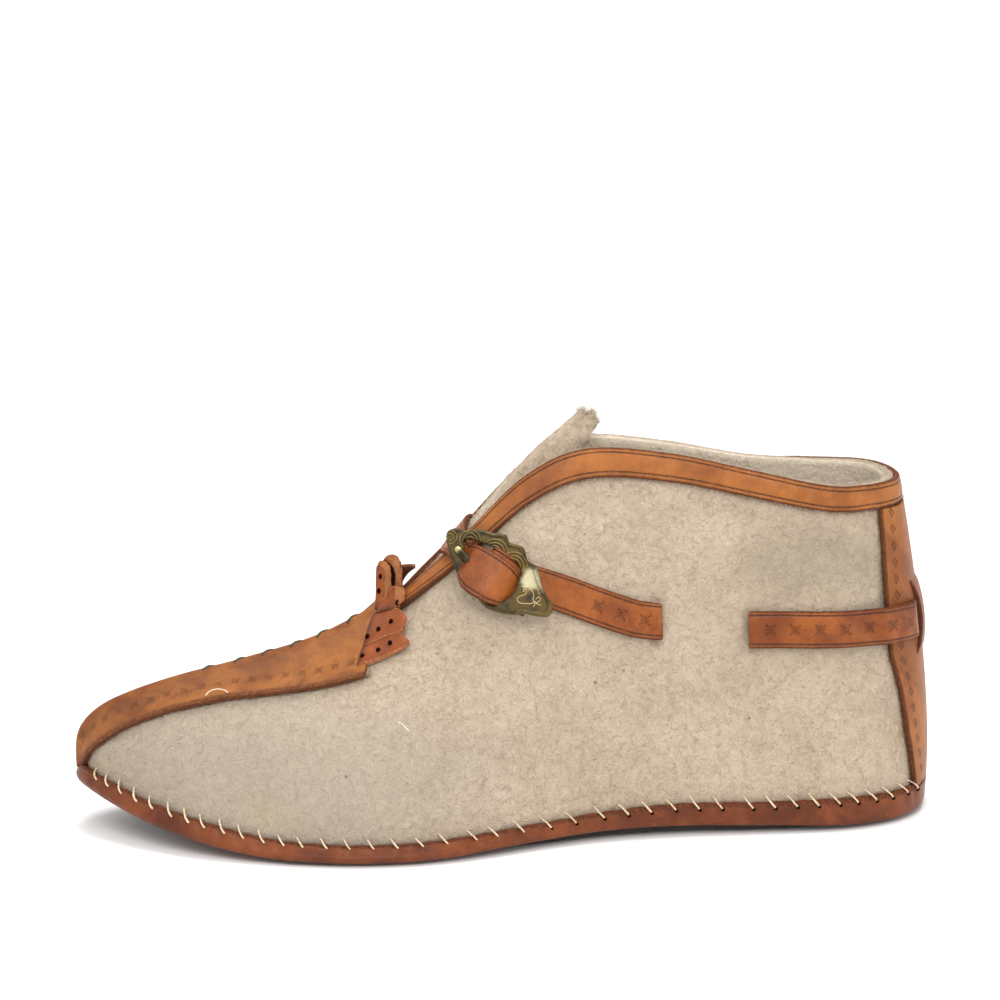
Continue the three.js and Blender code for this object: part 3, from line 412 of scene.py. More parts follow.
def tube(path, radius, sides=8, taper=1.0):
    path = np.asarray(path, float)
    t = unit(np.gradient(path, axis=0))
    a = unit(np.cross(t, TUBE_ASIDE))
    b = np.cross(t, a)
    angle = np.arange(sides) * 2 * math.pi / sides
    r = radius * (np.ones(len(path)) * taper)
    ring = (path[:, None] + r[:, None, None] * (np.cos(angle)[None, :, None] * a[:, None]
                                                + np.sin(angle)[None, :, None] * b[:, None]))
    return ring.reshape(-1, 3), quads(len(path), sides, wrap=True) + ends(len(path), sides)


def ball(centre, radii, around=8, down=5):
    pole = 0.02
    T, A = np.meshgrid(np.linspace(pole, math.pi - pole, down + 1), np.arange(around) * 2 * math.pi / around,
                       indexing="ij")
    v = stack(np.sin(T) * np.cos(A), np.sin(T) * np.sin(A), np.cos(T)) * np.array(radii) + np.array(centre)
    return v.reshape(-1, 3), quads(down + 1, around, wrap=True) + ends(down + 1, around)


def join(parts):
    verts, faces, base = [], [], 0
    for v, f in parts:
        verts.append(v)
        faces += [tuple(i + base for i in q) for q in f]
        base += len(v)
    return np.concatenate(verts), faces


def ripples(points, *waves):
    """Sum of noise waves (scale, weight) at each point of a grid."""
    flat = points.reshape(-1, 3)
    values = [sum(weight * noise.noise(Vector(p * scale)) for scale, weight in waves) for p in flat]
    return np.array(values).reshape(points.shape[:-1])


# Materials: a small way to write node graphs. Places and sizes in them are in mm.
MIX_A, MIX_B, MIX_RESULT = 6, 7, 2


class Value:
    """An output of a node."""

    def __init__(self, graph, socket):
        self.graph = graph
        self.socket = socket

    def math(self, operation, *others):
        return self.graph.add("Math", dict(enumerate((self,) + others)), operation=operation)

    def __add__(self, other):
        return self.math("ADD", other)

    def __sub__(self, other):
        return self.math("SUBTRACT", other)

    def __mul__(self, other):
        return self.math("MULTIPLY", other)

    def __truediv__(self, other):
        return self.math("DIVIDE", other)

    def abs(self):
        return self.math("ABSOLUTE")

    def max(self, other):
        return self.math("MAXIMUM", other)

    def ramp(self, low, high, at_low=0.0, at_high=1.0):
        inputs = {"Value": self, "From Min": low, "From Max": high, "To Min": at_low, "To Max": at_high}
        return self.graph.add("MapRange", inputs, "Result", interpolation_type="SMOOTHSTEP")


class Graph:
    def __init__(self, name):
        self.material = bpy.data.materials.new(name)
        self.material.use_nodes = True
        self.tree = self.material.node_tree
        self.coord = self.add("TexCoord", {}, "Object")

    def put(self, socket, value):
        if isinstance(value, Value):
            self.tree.links.new(value.socket, socket)
        else:
            socket.default_value = value

    def add(self, kind, inputs, output=0, **settings):
        node = self.tree.nodes.new("ShaderNode" + kind)
        for key, value in settings.items():
            setattr(node, key, value)
        for key, value in inputs.items():
            self.put(node.inputs[key], value)
        return Value(self, node.outputs[output])

    def noise(self, scale, detail=3, rough=0.5, distort=0.0):
        return self.add("TexNoise", {"Scale": scale, "Detail": detail, "Roughness": rough,
                                     "Distortion": distort, "Vector": self.coord}, "Fac")

    def voronoi(self, scale, feature="F1"):
        return self.add("TexVoronoi", {"Scale": scale, "Vector": self.coord}, "Distance", feature=feature)

    def lay(self):
        """The three numbers that the mesh gives at each vertex."""
        vector = self.add("Attribute", {}, "Vector", attribute_name="lay")
        first = self.add("SeparateXYZ", {0: vector})
        return [Value(self, output) for output in first.socket.node.outputs]

    def mix(self, share, a, b):
        colors = [v if isinstance(v, Value) else (*v, 1.0) for v in (a, b)]
        return self.add("Mix", {0: share, MIX_A: colors[0], MIX_B: colors[1]}, MIX_RESULT, data_type="RGBA")

    def ellipse(self, centre, radii, wobble=0.3, scale=50):
        """1 inside a soft ellipsoid, 0 outside."""
        scale_by = [1 / (r * MM) for r in radii]
        local = self.add("VectorMath", {0: self.coord, 1: scale_by}, operation="MULTIPLY")
        middle = [c / r for c, r in zip(centre, radii)]
        away = self.add("VectorMath", {0: local, 1: middle}, "Value", operation="DISTANCE")
        return (away + (self.noise(scale, 4, 0.6) - 0.5) * wobble).ramp(1.0, 0.35)

    def bump(self, height, distance, strength=1.0, normal=None):
        inputs = {"Strength": strength, "Distance": distance * MM, "Height": height}
        if normal:
            inputs["Normal"] = normal
        return self.add("Bump", inputs)

    def finish(self, **values):
        shader = self.tree.nodes["Principled BSDF"]
        for key, value in values.items():
            value = (*value, 1.0) if isinstance(value, tuple) else value
            self.put(shader.inputs[key.replace("_", " ")], value)
        return self.material


def darker(color, share):
    return tuple(c * share for c in color)


def lighter(color, share, more=0.0):
    return tuple(min(1, c * share + more) for c in color)


# small brown spots on the felt: place and size
SPOTS = [((-78.7, -30, 75.5), 1.1), ((-72, -30, 49), 0.9), ((-63, -30, 52), 0.8), ((-150, -40, 26), 0.7),
         ((-24, -30, 36), 0.6)]


def felt_material(name, painted_light_share=0.0):
    """Matted wool with short curled fibres at three sizes. Second argument: 0 for the outside, which gets
    stains, spots, darker patches and painted shade; above 0 these are left out and the felt is mixed towards
    a pale tone, as painted light against the shade inside the boot.
    """
    g = Graph(name)
    curl = g.noise(1150, 4, 0.7, distort=1.6)
    mat = g.noise(330, 5, 0.65, distort=1.0)
    wide = g.noise(45, 4, 0.6)
    tone = g.mix(wide.ramp(0.30, 0.70), (0.450, 0.350, 0.255), (0.530, 0.425, 0.315))
    tone = g.mix(mat.ramp(0.42, 0.64) * 0.35, tone, (0.600, 0.500, 0.385))
    tone = g.mix(mat.ramp(0.48, 0.34) * 0.32, tone, (0.270, 0.205, 0.142))
    tone = g.mix(curl.ramp(0.47, 0.36) * 0.48, tone, (0.200, 0.150, 0.100))
    tone = g.mix(curl.ramp(0.54, 0.66) * 0.36, tone, (0.700, 0.610, 0.490))
    # brown specks and flecks of kemp
    fleck = g.voronoi(330).ramp(0.16, 0.08) * g.noise(90, 2).ramp(0.52, 0.66)
    tone = g.mix(fleck * 0.6, tone, (0.215, 0.130, 0.070))
    if not painted_light_share:
        # darker behind the ankle and over the back, and greyer towards the toe and the sole
        behind_ankle = g.ellipse((-5, -28, 84), (42, 30, 15), 0.5, 60)
        tone = g.mix(behind_ankle * 0.42, tone, (0.250, 0.205, 0.145))
        back = g.ellipse((0, -30, 78), (80, 45, 62), 0.7, 45)
        tone = g.mix(back * 0.20, tone, (0.300, 0.240, 0.170))
        # the toe patch is partly grey felt and partly painted shade on the front of the boot
        toe = g.ellipse((-170, -20, 20), (95, 60, 40), 0.5, 40)
        tone = g.mix(toe * 0.60, tone, (0.370, 0.320, 0.260))
        rub = g.ellipse((27.5, -22, 29), (6, 12, 8), 0.8, 200) * g.noise(420, 3).ramp(0.45, 0.62)
        tone = g.mix(rub * 0.75, tone, (0.430, 0.270, 0.110))
        stain = g.ellipse((-175, -40, 14), (13, 20, 8), 0.9, 90)
        tone = g.mix(stain * 0.16, tone, (0.450, 0.430, 0.180))
        for place, size in SPOTS:
            spot = g.ellipse(place, (size, 12, size), 0.5, 700)
            tone = g.mix(spot * 0.75, tone, (0.150, 0.070, 0.035))
    # painted light: the inner faces, and every face by the second argument, are mixed towards a pale tone
    # against the shade inside the boot
    painted_light_faces = g.lay()[0]
    tone = g.mix(painted_light_faces.max(painted_light_share) * 0.65, tone, (0.880, 0.770, 0.620))
    normal = g.bump(curl, 0.5)
    normal = g.bump(mat, 1.1, 0.9, normal)
    normal = g.bump(wide, 4.0, 0.5, normal)
    return g.finish(Base_Color=tone, Roughness=0.95, Normal=normal, Specular_IOR_Level=0.08,
                    Sheen_Weight=0.05, Sheen_Roughness=0.6)


def stamp_cross(a, b, size):
    """A small punch mark: two crossed wedges and the nicks between them."""
    a, b = a.abs(), b.abs()
    longer = a.max(b)
    arms = (a - b).abs() - longer * 0.16
    arms = arms.ramp(0.34, 0.05) * longer.ramp(size, size * 0.82)
    nick_a = (b * 1.6 + (a - size * 0.62).abs()).ramp(size * 0.36, size * 0.2)
    nick_b = (a * 1.6 + (b - size * 0.62).abs()).ramp(size * 0.36, size * 0.2)
    return arms.max(nick_a * 0.8).max(nick_b * 0.8)


def repeat(x, pitch, start=0.0):
    """Distance from the nearest of a row of places."""
    share = (x - start) / pitch
    return (share - share.math("ROUND")) * pitch


def strap_marks(g, x, y):
    beside_buckle = g.ellipse((-81, -28, 78), (11, 40, 14), 0.0)
    return stamp_cross(repeat(x, 7.75, 3.2), y - STRAP_WIDTH / 2, 1.75) * (beside_buckle * -1.0 + 1.0)


def toe_marks(g, x, y):
    return stamp_cross(repeat(x, 5.2), y - 6.0, 1.3) * 0.55


def heel_marks(g, x, y):
    a, b = repeat(x, 5.2), y - 3.8
    # a stamped mark cut to one side: partly the stamp and partly painted shadow on its lower-left side
    wedge = (b.abs() + a.abs() * 0.8).ramp(1.6, 1.2) * (b + a * 0.5 + 0.6).ramp(0.0, 0.4)
    return wedge * 1.6


def leather_material(name, light, dark, edge, rough=0.45, crease=None, marks=None, grain=1.0, raw=0.75,
                     root=0.0):
    """Tanned leather. crease: distance of a pressed line from the edge. raw: width of the dark cut edge.
    root: width of the painted shade in the fold at the start of the run."""
    g = Graph(name)
    x, y, d = g.lay()
    wide = g.noise(55, 5, 0.6, distort=0.6)
    mottled = g.noise(240, 5, 0.65)
    tone = g.mix(wide.ramp(0.30, 0.70), dark, light)
    tone = g.mix(mottled.ramp(0.40, 0.70) * 0.30, tone, darker(dark, 0.62))
    pore = g.voronoi(1500 * grain, "DISTANCE_TO_EDGE")
    fine = g.noise(1400 * grain, 4, 0.6)
    # raw cut edge: dark and hairy
    ragged = d + (g.noise(900, 3) - 0.5) * 0.7
    rim = ragged.ramp(raw, raw * 0.35)
    hairy = g.noise(1300, 4, 0.7).ramp(0.40, 0.66)
    tone = g.mix(rim * 0.9, tone, g.mix(hairy, edge, lighter(edge, 2.6)))
    height = (pore.ramp(0.0, 0.12) * 0.16) + (fine * 0.12) + (wide * 0.2)
    if crease:
        ticks = g.noise(1500, 2, 0.5).ramp(0.35, 0.6, 0.55, 1.0)
        line = (d - crease).abs().ramp(0.36, 0.08) * ticks
        tone = g.mix(line * 0.8, tone, darker(dark, 0.22))
        height = height - line * 1.2 - (d - crease).ramp(0.9, 0.0) * 0.25
    # painted shade: darker at the start of the run, in the fold at the root
    if root:
        tone = g.mix(x.ramp(root, 0.0) * 0.75, tone, darker(dark, 0.4))
    if marks:
        mark = marks(g, x, y)
        tone = g.mix(mark * 0.26, tone, darker(dark, 0.35))
        height = height - mark * 1.4
    scuff = g.noise(170, 6, 0.72, distort=1.5).ramp(0.60, 0.74)
    tone = g.mix(scuff * 0.18, tone, lighter(light, 1.55, 0.03))
    return g.finish(Base_Color=tone, Roughness=(wide * 0.15 + (rough - 0.08)).max(rim * 0.9),
                    Normal=g.bump(height, 0.5), Specular_IOR_Level=0.26)


def thread_material(name, color, dark, gloss=0.5):
    g = Graph(name)
    twist = g.noise(2500, 2, 0.5)
    return g.finish(Base_Color=g.mix(twist.ramp(0.35, 0.6), dark, color), Roughness=0.7,
                    Normal=g.bump(twist, 0.2, 0.8), Specular_IOR_Level=gloss)


def rubber_material():
    g = Graph("outsole_worn")
    wide = g.noise(60, 5, 0.6)
    tone = g.mix(wide.ramp(0.4, 0.7), (0.020, 0.014, 0.011), (0.050, 0.036, 0.028))
    return g.finish(Base_Color=tone, Roughness=0.8, Normal=g.bump(g.noise(700, 4), 0.4, 0.6))


WORN_PLACE, WORN_SIZE = (-91.5, -26.0, 82.0), (5.0, 14, 4.2)


def brass_material(name, painted_highlight=0.0):
    """Aged cast brass. The lay gives the relief, the distance to an edge and the tip; all three are painted
    lighter as highlights.
    """
    g = Graph(name)
    relief, edge, tip = g.lay()
    wide = g.noise(170, 5, 0.6)
    fine = g.noise(900, 4, 0.6)
    tone = g.mix(wide.ramp(0.38, 0.62), (0.010, 0.007, 0.002), (0.066, 0.041, 0.008))
    # painted highlight: lighter on the raised relief and near the edges; the dark base is the patina
    tone = g.mix(relief * 0.5, tone, (0.230, 0.160, 0.040))
    tone = g.mix(edge.ramp(0.45, 0.0) * 0.22, tone, (0.260, 0.190, 0.060))
    tone = g.mix(g.ellipse(WORN_PLACE, WORN_SIZE, 1.3, 420) * 0.62, tone, (0.46, 0.42, 0.26))
    # painted highlight on the prong's tip, and over whole pieces by the second argument
    tone = g.mix(tip.max(painted_highlight), tone, (0.58, 0.46, 0.22))
    return g.finish(Base_Color=tone, Roughness=wide.ramp(0.3, 0.7, 0.28, 0.46), Metallic=0.65,
                    Normal=g.bump(fine, 0.15, 0.6))


RAW = (0.060, 0.018, 0.006)
FELT_OUTSIDE = felt_material("felt")
FELT_INSIDE = felt_material("felt_inside", 0.6)
BAND_LEATHER = leather_material("band_leather", (0.400, 0.135, 0.028), (0.205, 0.057, 0.011), RAW, 0.42,
                                crease=1.6, raw=1.0)
TOE_LEATHER = leather_material("toe_leather", (0.340, 0.118, 0.024), (0.150, 0.041, 0.009),
                               (0.085, 0.028, 0.010), marks=toe_marks, raw=2.0)
HEEL_LEATHER = leather_material("heel_leather", (0.375, 0.128, 0.025), (0.205, 0.058, 0.011), RAW,
                                marks=heel_marks, raw=1.1)
KEEPER_LEATHER = leather_material("keeper_leather", (0.330, 0.100, 0.022), (0.190, 0.050, 0.011),
                                  (0.045, 0.013, 0.005), raw=1.7)
# the fringe gets painted shade in the fold at its root
FRINGE_LEATHER = leather_material("fringe_leather", (0.290, 0.072, 0.016), (0.125, 0.026, 0.006),
                                  (0.230, 0.090, 0.036), 0.5, raw=0.35, root=3.0)
FRINGE_RAW = leather_material("fringe_raw_edge", (0.350, 0.138, 0.046), (0.130, 0.038, 0.011),
                              (0.130, 0.042, 0.013), 0.8, grain=0.4, raw=0.4)
# painted shade: a darker copy of the fringe leather for the teeth further back
FRINGE_SHADED = leather_material("fringe_far_shaded", (0.120, 0.035, 0.014), (0.055, 0.014, 0.006),
                               (0.160, 0.060, 0.030), 0.6)
STRAP_LEATHER = leather_material("strap_leather", (0.340, 0.096, 0.017), (0.165, 0.037, 0.007), RAW, 0.25,
                                 crease=1.3, marks=strap_marks, raw=0.8)
SOLE_LEATHER_LOOK = leather_material("sole_leather", (0.210, 0.052, 0.012), (0.098, 0.020, 0.005),
                                     (0.070, 0.020, 0.008), 0.36)
CREAM_THREAD = thread_material("cream_thread", (0.78, 0.62, 0.42), (0.48, 0.34, 0.20))
GREEN_THREAD = thread_material("green_thread", (0.040, 0.055, 0.030), (0.012, 0.014, 0.010))
WHITE_THREAD = thread_material("white_thread", (0.80, 0.72, 0.58), (0.60, 0.52, 0.40))
# dark balls set into the holes as painted shade
HOLE_SHADE = thread_material("punched_hole_shade", (0.016, 0.006, 0.003), (0.009, 0.003, 0.002), 0.0)
WOOL_HAIR = thread_material("wool_hair", (0.640, 0.540, 0.410), (0.420, 0.330, 0.235))
LEATHER_HAIR = thread_material("leather_hair", (0.230, 0.090, 0.035), (0.090, 0.030, 0.012))
HIGHLIGHT_BRASS = brass_material("highlight_brass", 0.7)
AGED_BRASS = brass_material("aged_brass")
RUBBER = rubber_material()

# Stitches along the sole: where they leave the felt on the outer side, across the picture (pixels)
STITCH_PIXELS = [
    91.6, 102.5, 115.5, 130.4, 146, 164.8, 181.5, 197.4, 217.3, 236.4, 257, 277, 296.3, 320.6, 343.8,
    367.7, 391.7, 417, 441.4, 470, 491, 517, 543.7, 568.6, 596.7, 620.8, 643.5, 668, 691.4, 714.3, 745,
    767.3, 789.4, 810.8, 832.2, 850.6, 869.4, 886.3, 902.7, 913.9]
STITCH_OUT, STITCH_START, STITCH_PITCH, STITCH_END = 2.1, 4, 6.9, 2


def stitch_sections():
    """Sections of the stitches: from the picture on the outer side, evenly on the inner side."""
    s = np.linspace(0.05, LAST - 0.05, 900)
    px = project(beside_felt(s, LATERAL, rim_top(s), 0 * s + STITCH_OUT))[..., 0]
    order = np.argsort(px)
    lateral = np.interp(STITCH_PIXELS, px[order], s[order])
    run = along_mm(edge_point(s, MEDIAL))
    medial = np.interp(np.arange(STITCH_START, run[-1] - STITCH_END, STITCH_PITCH), run, s)
    return {LATERAL: np.sort(lateral), MEDIAL: medial}


STITCHES = stitch_sections()


def edge_run(side):
    """Sections along the felt's lower edge and the run there in mm."""
    s = np.linspace(0, LAST, 900)
    return s, along_mm(edge_point(s, side))


def near_stitch(s, side, width, shift):
    """1 at the stitches of a side, falling to 0 between them."""
    run_s, run = edge_run(side)
    at = np.interp(s, run_s, run)
    marks = np.interp(STITCHES[side], run_s, run)
    away = np.abs(at[..., None] - marks + shift).min(-1)
    return np.exp(-(away / width) ** 2 / 2)


# Pieces
SLIT_HALF, SLIT_DENT, DENT_WIDTH = 6.4, 1.5, 1.1
PUFF_HALF, SLIT_PUFF, PUFF_AT, PUFF_WIDTH = 7, 0.35, 3.2, 1.8
FELT_WAVE, CALM_EDGE, APART_SHARE = 0.75, 9, 0.3


def build_upper():
    s = np.unique(np.concatenate([np.linspace(0, LAST, 226), [0.02, 0.05, LAST - 0.03]]))
    rise = np.unique(np.concatenate([np.linspace(0, 1, 46), [0.01, 0.985]]))
    S, R = np.meshgrid(s, rise, indexing="ij")
    r, c = S.shape
    n = S.size
    verts, faces, base = [], [], 0
    for side in (LATERAL, MEDIAL):
        outer = felt(S, R, side)
        normal = felt_normal(S, R, side)
        push = np.zeros(S.shape)
        for slit in SLITS:
            slit_s, slit_rise = wall_place(side, *slit)
            centre = felt(slit_s, slit_rise, side)
            away = outer - centre
            tangent = unit(felt(slit_s + STEP, slit_rise, side) - centre)
            a = np.abs(away @ tangent)
            b = np.abs(away[..., 2])
            push += -SLIT_DENT * np.exp(-(a / DENT_WIDTH) ** 2) * (b < SLIT_HALF)
            push += SLIT_PUFF * np.exp(-((a - PUFF_AT) / PUFF_WIDTH) ** 2) * (b < PUFF_HALF)
        # soft waves of thick felt, calm at the edges
        calm = np.minimum(1, np.minimum(R, 1 - R) * CALM_EDGE)
        push += calm * FELT_WAVE * ripples(outer, (0.030, 1), (0.085, 0.5))
        inner = outer - normal * FELT
        top = (R >= 1) & (S < THROAT)
        apart = APART_SHARE * BALL_WIDTH * column("topHalf", S)
        y = side * inner[..., 1]
        inner[..., 1] = np.where(top, side * np.maximum(y, apart), inner[..., 1])
        outer = outer + normal * push[..., None]
        verts += [outer.reshape(-1, 3), inner.reshape(-1, 3)]
        faces += quads(r, c, base) + quads(r, c, base + n, turned=True)
        for j in (0, c - 1):
            for i in range(r - 1):
                if j == c - 1 and s[i + 1] > THROAT + 0.01:
                    continue
                a, b = base + i * c + j, base + (i + 1) * c + j
                faces.append((a, b, b + n, a + n))
        base += 2 * n
    # 1 on the inner faces of the felt, which its material mixes towards a pale tone as painted light
    painted_light_faces = np.repeat([0.0, 1.0, 0.0, 1.0], n)
    piece("felt_body", np.concatenate(verts), faces, FELT_OUTSIDE, "felt", "upper",
          lay=np.stack([painted_light_faces] * 3, -1))


def build_sole():
    s = np.linspace(0, LAST, 520)
    low = np.minimum(OUTSOLE * column("dip", s), PLATE_BOTTOM)
    roll = CLEARANCE + SOLE_LEATHER + ROLL * column("roll", s)
    lip = CLEARANCE - TUCK * column("tuck", s)
    level = 0 * s

    def flat(out, height, pinch=0.0):
        def ring(side):
            pinched = out - pinch * near_stitch(s, side, 1.3, 2.2)
            p = edge_point(s, side) + out_in_plan(s, side) * pinched[..., None]
            p[..., 2] = lift(s) + height
            return p
        return round_outline(ring)

    def wall(out, share, pinch, drop):
        def ring(side):
            near = near_stitch(s, side, 1.1, 1.2)
            z = FELT_EDGE + lift(s) + RIM * column("rim", s) * share - drop * near + drop * 0.4
            p = beside_felt(s, side, z, out - pinch * near)
            p[..., 2] = np.minimum(z, rim_top(s) + 0.5)
            return p
        return round_outline(ring)

    grid = np.array([
        flat(lip, level + PLATE_BOTTOM),
        flat(lip + 0.4, low + 0.25 * (PLATE_BOTTOM - low)),
        flat(0.35 * roll + 0.65 * (lip + 0.4), low),
        flat(0.72 * roll, low + 0.1),
        flat(0.95 * roll, low + 0.3 * (FELT_EDGE - low), 0.1),
        flat(roll, low + 0.6 * (FELT_EDGE - low), 0.2),
        wall(CLEARANCE + SOLE_LEATHER + 0.35 * ROLL * column("roll", s), 0.45, 0.55, 0.2),
        wall(level + CLEARANCE + SOLE_LEATHER, 1, 0.75, 0.5),
        wall(level + CLEARANCE, 1, 0.0, 0.5),
        flat(level + CLEARANCE, level + FELT_EDGE),
        flat(level + CLEARANCE, level + PLATE_TOP),
        flat(level - FELT, level + PLATE_TOP),
    ])
    outer = smooth_rows(grid[1:8], 3)
    edge = outer[-1] * 0.5 + grid[8] * 0.5 + np.array([0, 0, 0.35])
    grid = np.concatenate([grid[:1], outer, edge[None], grid[8:]])
    rows, cols = grid.shape[:2]
    run = along_mm(grid, 1)
    edge_row, row_height = 19, 0.35
    to_edge = np.abs(np.arange(rows) - edge_row)[:, None] * row_height + 0 * run
    piece("sole_wrap", grid.reshape(-1, 3), quads(rows, cols) + loop_caps(rows, cols), SOLE_LEATHER_LOOK,
          "sole_leather", "sole", lay=np.stack([run, to_edge, to_edge], -1).reshape(-1, 3))


HOLE_SHADE_SIZE, HIGH_STITCH, HIGH_STITCH_SIZE = (0.62, 0.62, 0.55), 13, 0.85


def build_stitches():
    parts, hole_shades = [], []
    for side in (LATERAL, MEDIAL):
        run_s, run = edge_run(side)
        for s in STITCHES[side]:
            at = np.interp(s, run_s, run)
            size = 1.0 if float(rim_top(s)) < HIGH_STITCH else HIGH_STITCH_SIZE
            jitter = random.uniform(-0.3, 0.3)

            def place(back, up, out):
                q = np.clip(np.interp([at - back], run, run_s), 0.03, LAST - 0.03)
                return beside_felt(q, side, rim_top(q) + up, out)[0]
            path = [place(-0.3, 2.0 * size + jitter, -0.4), place(0.1, 1.6 * size + jitter, 0.35),
                    place(0.9, 0.7, 1.6), place(1.5, 0.0, 2.15), place(2.1, -0.7 * size, 2.3),
                    place(2.7, -1.5 * size, 1.9)]
            path = smooth_rows(path, 3)
            thick = random.uniform(0.26, 0.36)
            parts.append(tube(path, thick, 7, np.linspace(0.8, 1.05, len(path))))
            # a dark ball at the lower end of each stitch: painted shade in its hole
            hole_shades.append(ball(place(2.85, -1.75 * size, 2.05), HOLE_SHADE_SIZE))
    piece("whip_stitches", *join(parts), CREAM_THREAD, "felt", merge=0)
    piece("stitch_hole_shades", *join(hole_shades), HOLE_SHADE, "sole_leather", merge=0)


# rings of the two sheets under the foot: how far drawn in, height
OUTSOLE_RINGS = [(0.5, 0), (0.15, 0.15), (0.0, 0.5), (0.0, OUTSOLE)]
INSOLE_RINGS = [(0, 0), (0, 0.6 * INSOLE), (0.15, 0.85 * INSOLE), (0.5, INSOLE)]


def build_bottom():
    s = np.linspace(0, LAST, 160)
    for name, rings, below, inset, tuck, look, slot, node in (
            ("outsole_sheet", OUTSOLE_RINGS, FELT_EDGE, 0.0, TUCK, RUBBER, "outsole", "outsole"),
            ("insole_sheet", INSOLE_RINGS, 0.0, FELT + CLEARANCE, 0.0, FELT_INSIDE, "felt", "insole")):
        loops = []
        for more, height in rings:
            def ring(side):
                out = -tuck * column("tuck", s) - (inset + more)
                p = edge_point(s, side) + out_in_plan(s, side) * out[..., None]
                p[..., 2] += height - below
                return p
            loops.append(round_outline(ring))
        rows, cols = np.shape(loops)[:2]
        piece(name, np.reshape(loops, (-1, 3)), quads(rows, cols) + loop_caps(rows, cols), look, slot, node)


BAND_END, BAND_PUFF = 10.85, 0.30
BAND_WIDTHS = [(0, 0.8), (3, 0.82), (5, 0.9), (7, 0.98), (8, 0.95), (9, 0.8), (10.5, 0.7)]
# the far side's upper edge lies a little lower: section and rise
BAND_FAR_TOP = [(4, 1), (6.5, 0.972)]


def build_band():
    """Collar band. Returns the sections and rises of its lower edge."""
    a = np.linspace(-BAND_END, BAND_END, 330)
    s, side = np.abs(a), side_where(a <= 0)
    width = BAND_WIDTH * share_at(BAND_WIDTHS, s)
    top = top_point(s, side)
    low, _ = halving(lambda rise: np.linalg.norm(felt(s, rise, side) - top, axis=-1) > width, len(s))
    t = np.linspace(0, 1, 12)
    high = np.where(side > 0, share_at(BAND_FAR_TOP, s), 1.0)
    R = low[:, None] + (high - low)[:, None] * t[None]
    S, W = s[:, None] + 0 * R, side[:, None] + 0 * R
    puff = BAND_PUFF * np.sin(math.pi * t)[None] ** 0.5 * np.ones((len(s), 1))
    outer = OVER_FELT + TRIM - 0.2 + puff
    overlay("collar_band_leather", S, R, W, OVER_FELT, outer, BAND_LEATHER, "collar_band")
    return s, low


# half width of the heel strip: share of the rise, sections from the middle
HEEL_REACHES = [(0.04, 2.0), (0.2, 2.4), (0.33, 2.6), (0.42, 2.82), (0.6, 2.8), (0.9, 2.6)]
KEEPER_REACH, KEEPER_FLARE, KEEPER_END, KEEPER_TOP, KEEPER_FOOT, KEEPER_SINK = 1.4, 0.4, 5.5, 1.1, 2.5, 0.5
STRAP_RISE = SLITS[0][1]


def build_heel():
    bottom = FELT_EDGE + RIM + CLEARANCE - 0.6
    top = float(top_point(0, LATERAL)[2]) - BAND_WIDTH * BAND_WIDTHS[0][1] - 2 * CLEARANCE
    z = np.linspace(bottom, top, 80)
    reach = share_at(HEEL_REACHES, (z - FELT_EDGE) / COLLAR_RISE)
    A = np.linspace(-1, 1, 56)[None] * reach[:, None]
    S, W = np.abs(A), side_where(A <= 0)
    R = rise_at(S, z[:, None] + 0 * S, W)
    overlay("heel_strip_leather", S, R, W, OVER_FELT, OVER_FELT + TRIM, HEEL_LEATHER, "heel_strip",
            edge_lay(S, R, W))
    # keeper: the middle of the strip, lifted over the strap
    mid = height_of(STRAP_RISE)
    half = STRAP_WIDTH / 2 + 2 * CLEARANCE + KEEPER_END
    z = np.linspace(mid - half, mid + half, 60)
    away = np.abs(z - mid)
    up = KEEPER_TOP * np.cos(math.pi / 2 * np.clip(away / half, 0, 1)) ** 0.7
    up = up * np.clip((half - away) / KEEPER_FOOT, 0, 1) ** 0.5
    reach = KEEPER_REACH + KEEPER_FLARE * (away / half) ** 2
    a = np.linspace(-1, 1, 44)
    S = np.abs(a)[None] * reach[:, None]
    W = side_where(a <= 0)[None] + 0 * S
    R = rise_at(S, z[:, None] + 0 * S, W)
    off = OVER_FELT + 0.05 + up[:, None] * (STRAP - KEEPER_SINK) + 0 * S
    overlay("heel_keeper", S, R, W, off, off + TRIM, KEEPER_LEATHER, lay=edge_lay(S, R, W))


# lower edge of the toe strip: section, rise
STRIP_EDGES = [(11, 0.62), (11.7, 0.64), (12.4, 0.67), (13.4, 0.71), (14.4, 0.7), (15, 0.67), (15.6, 0.62),
               (16.3, 0.54), (17.2, 0.41), (18, 0.3)]
FOLD_RIDGE, FOLD_EDGE, STRIP_TIP, STRIP_LIFT = 11.1, 11.5, 17.86, 0.5
PINCH_WIDTH, GROOVE_DEPTH, GROOVE_AT = 1.1, 0.25, 2.6


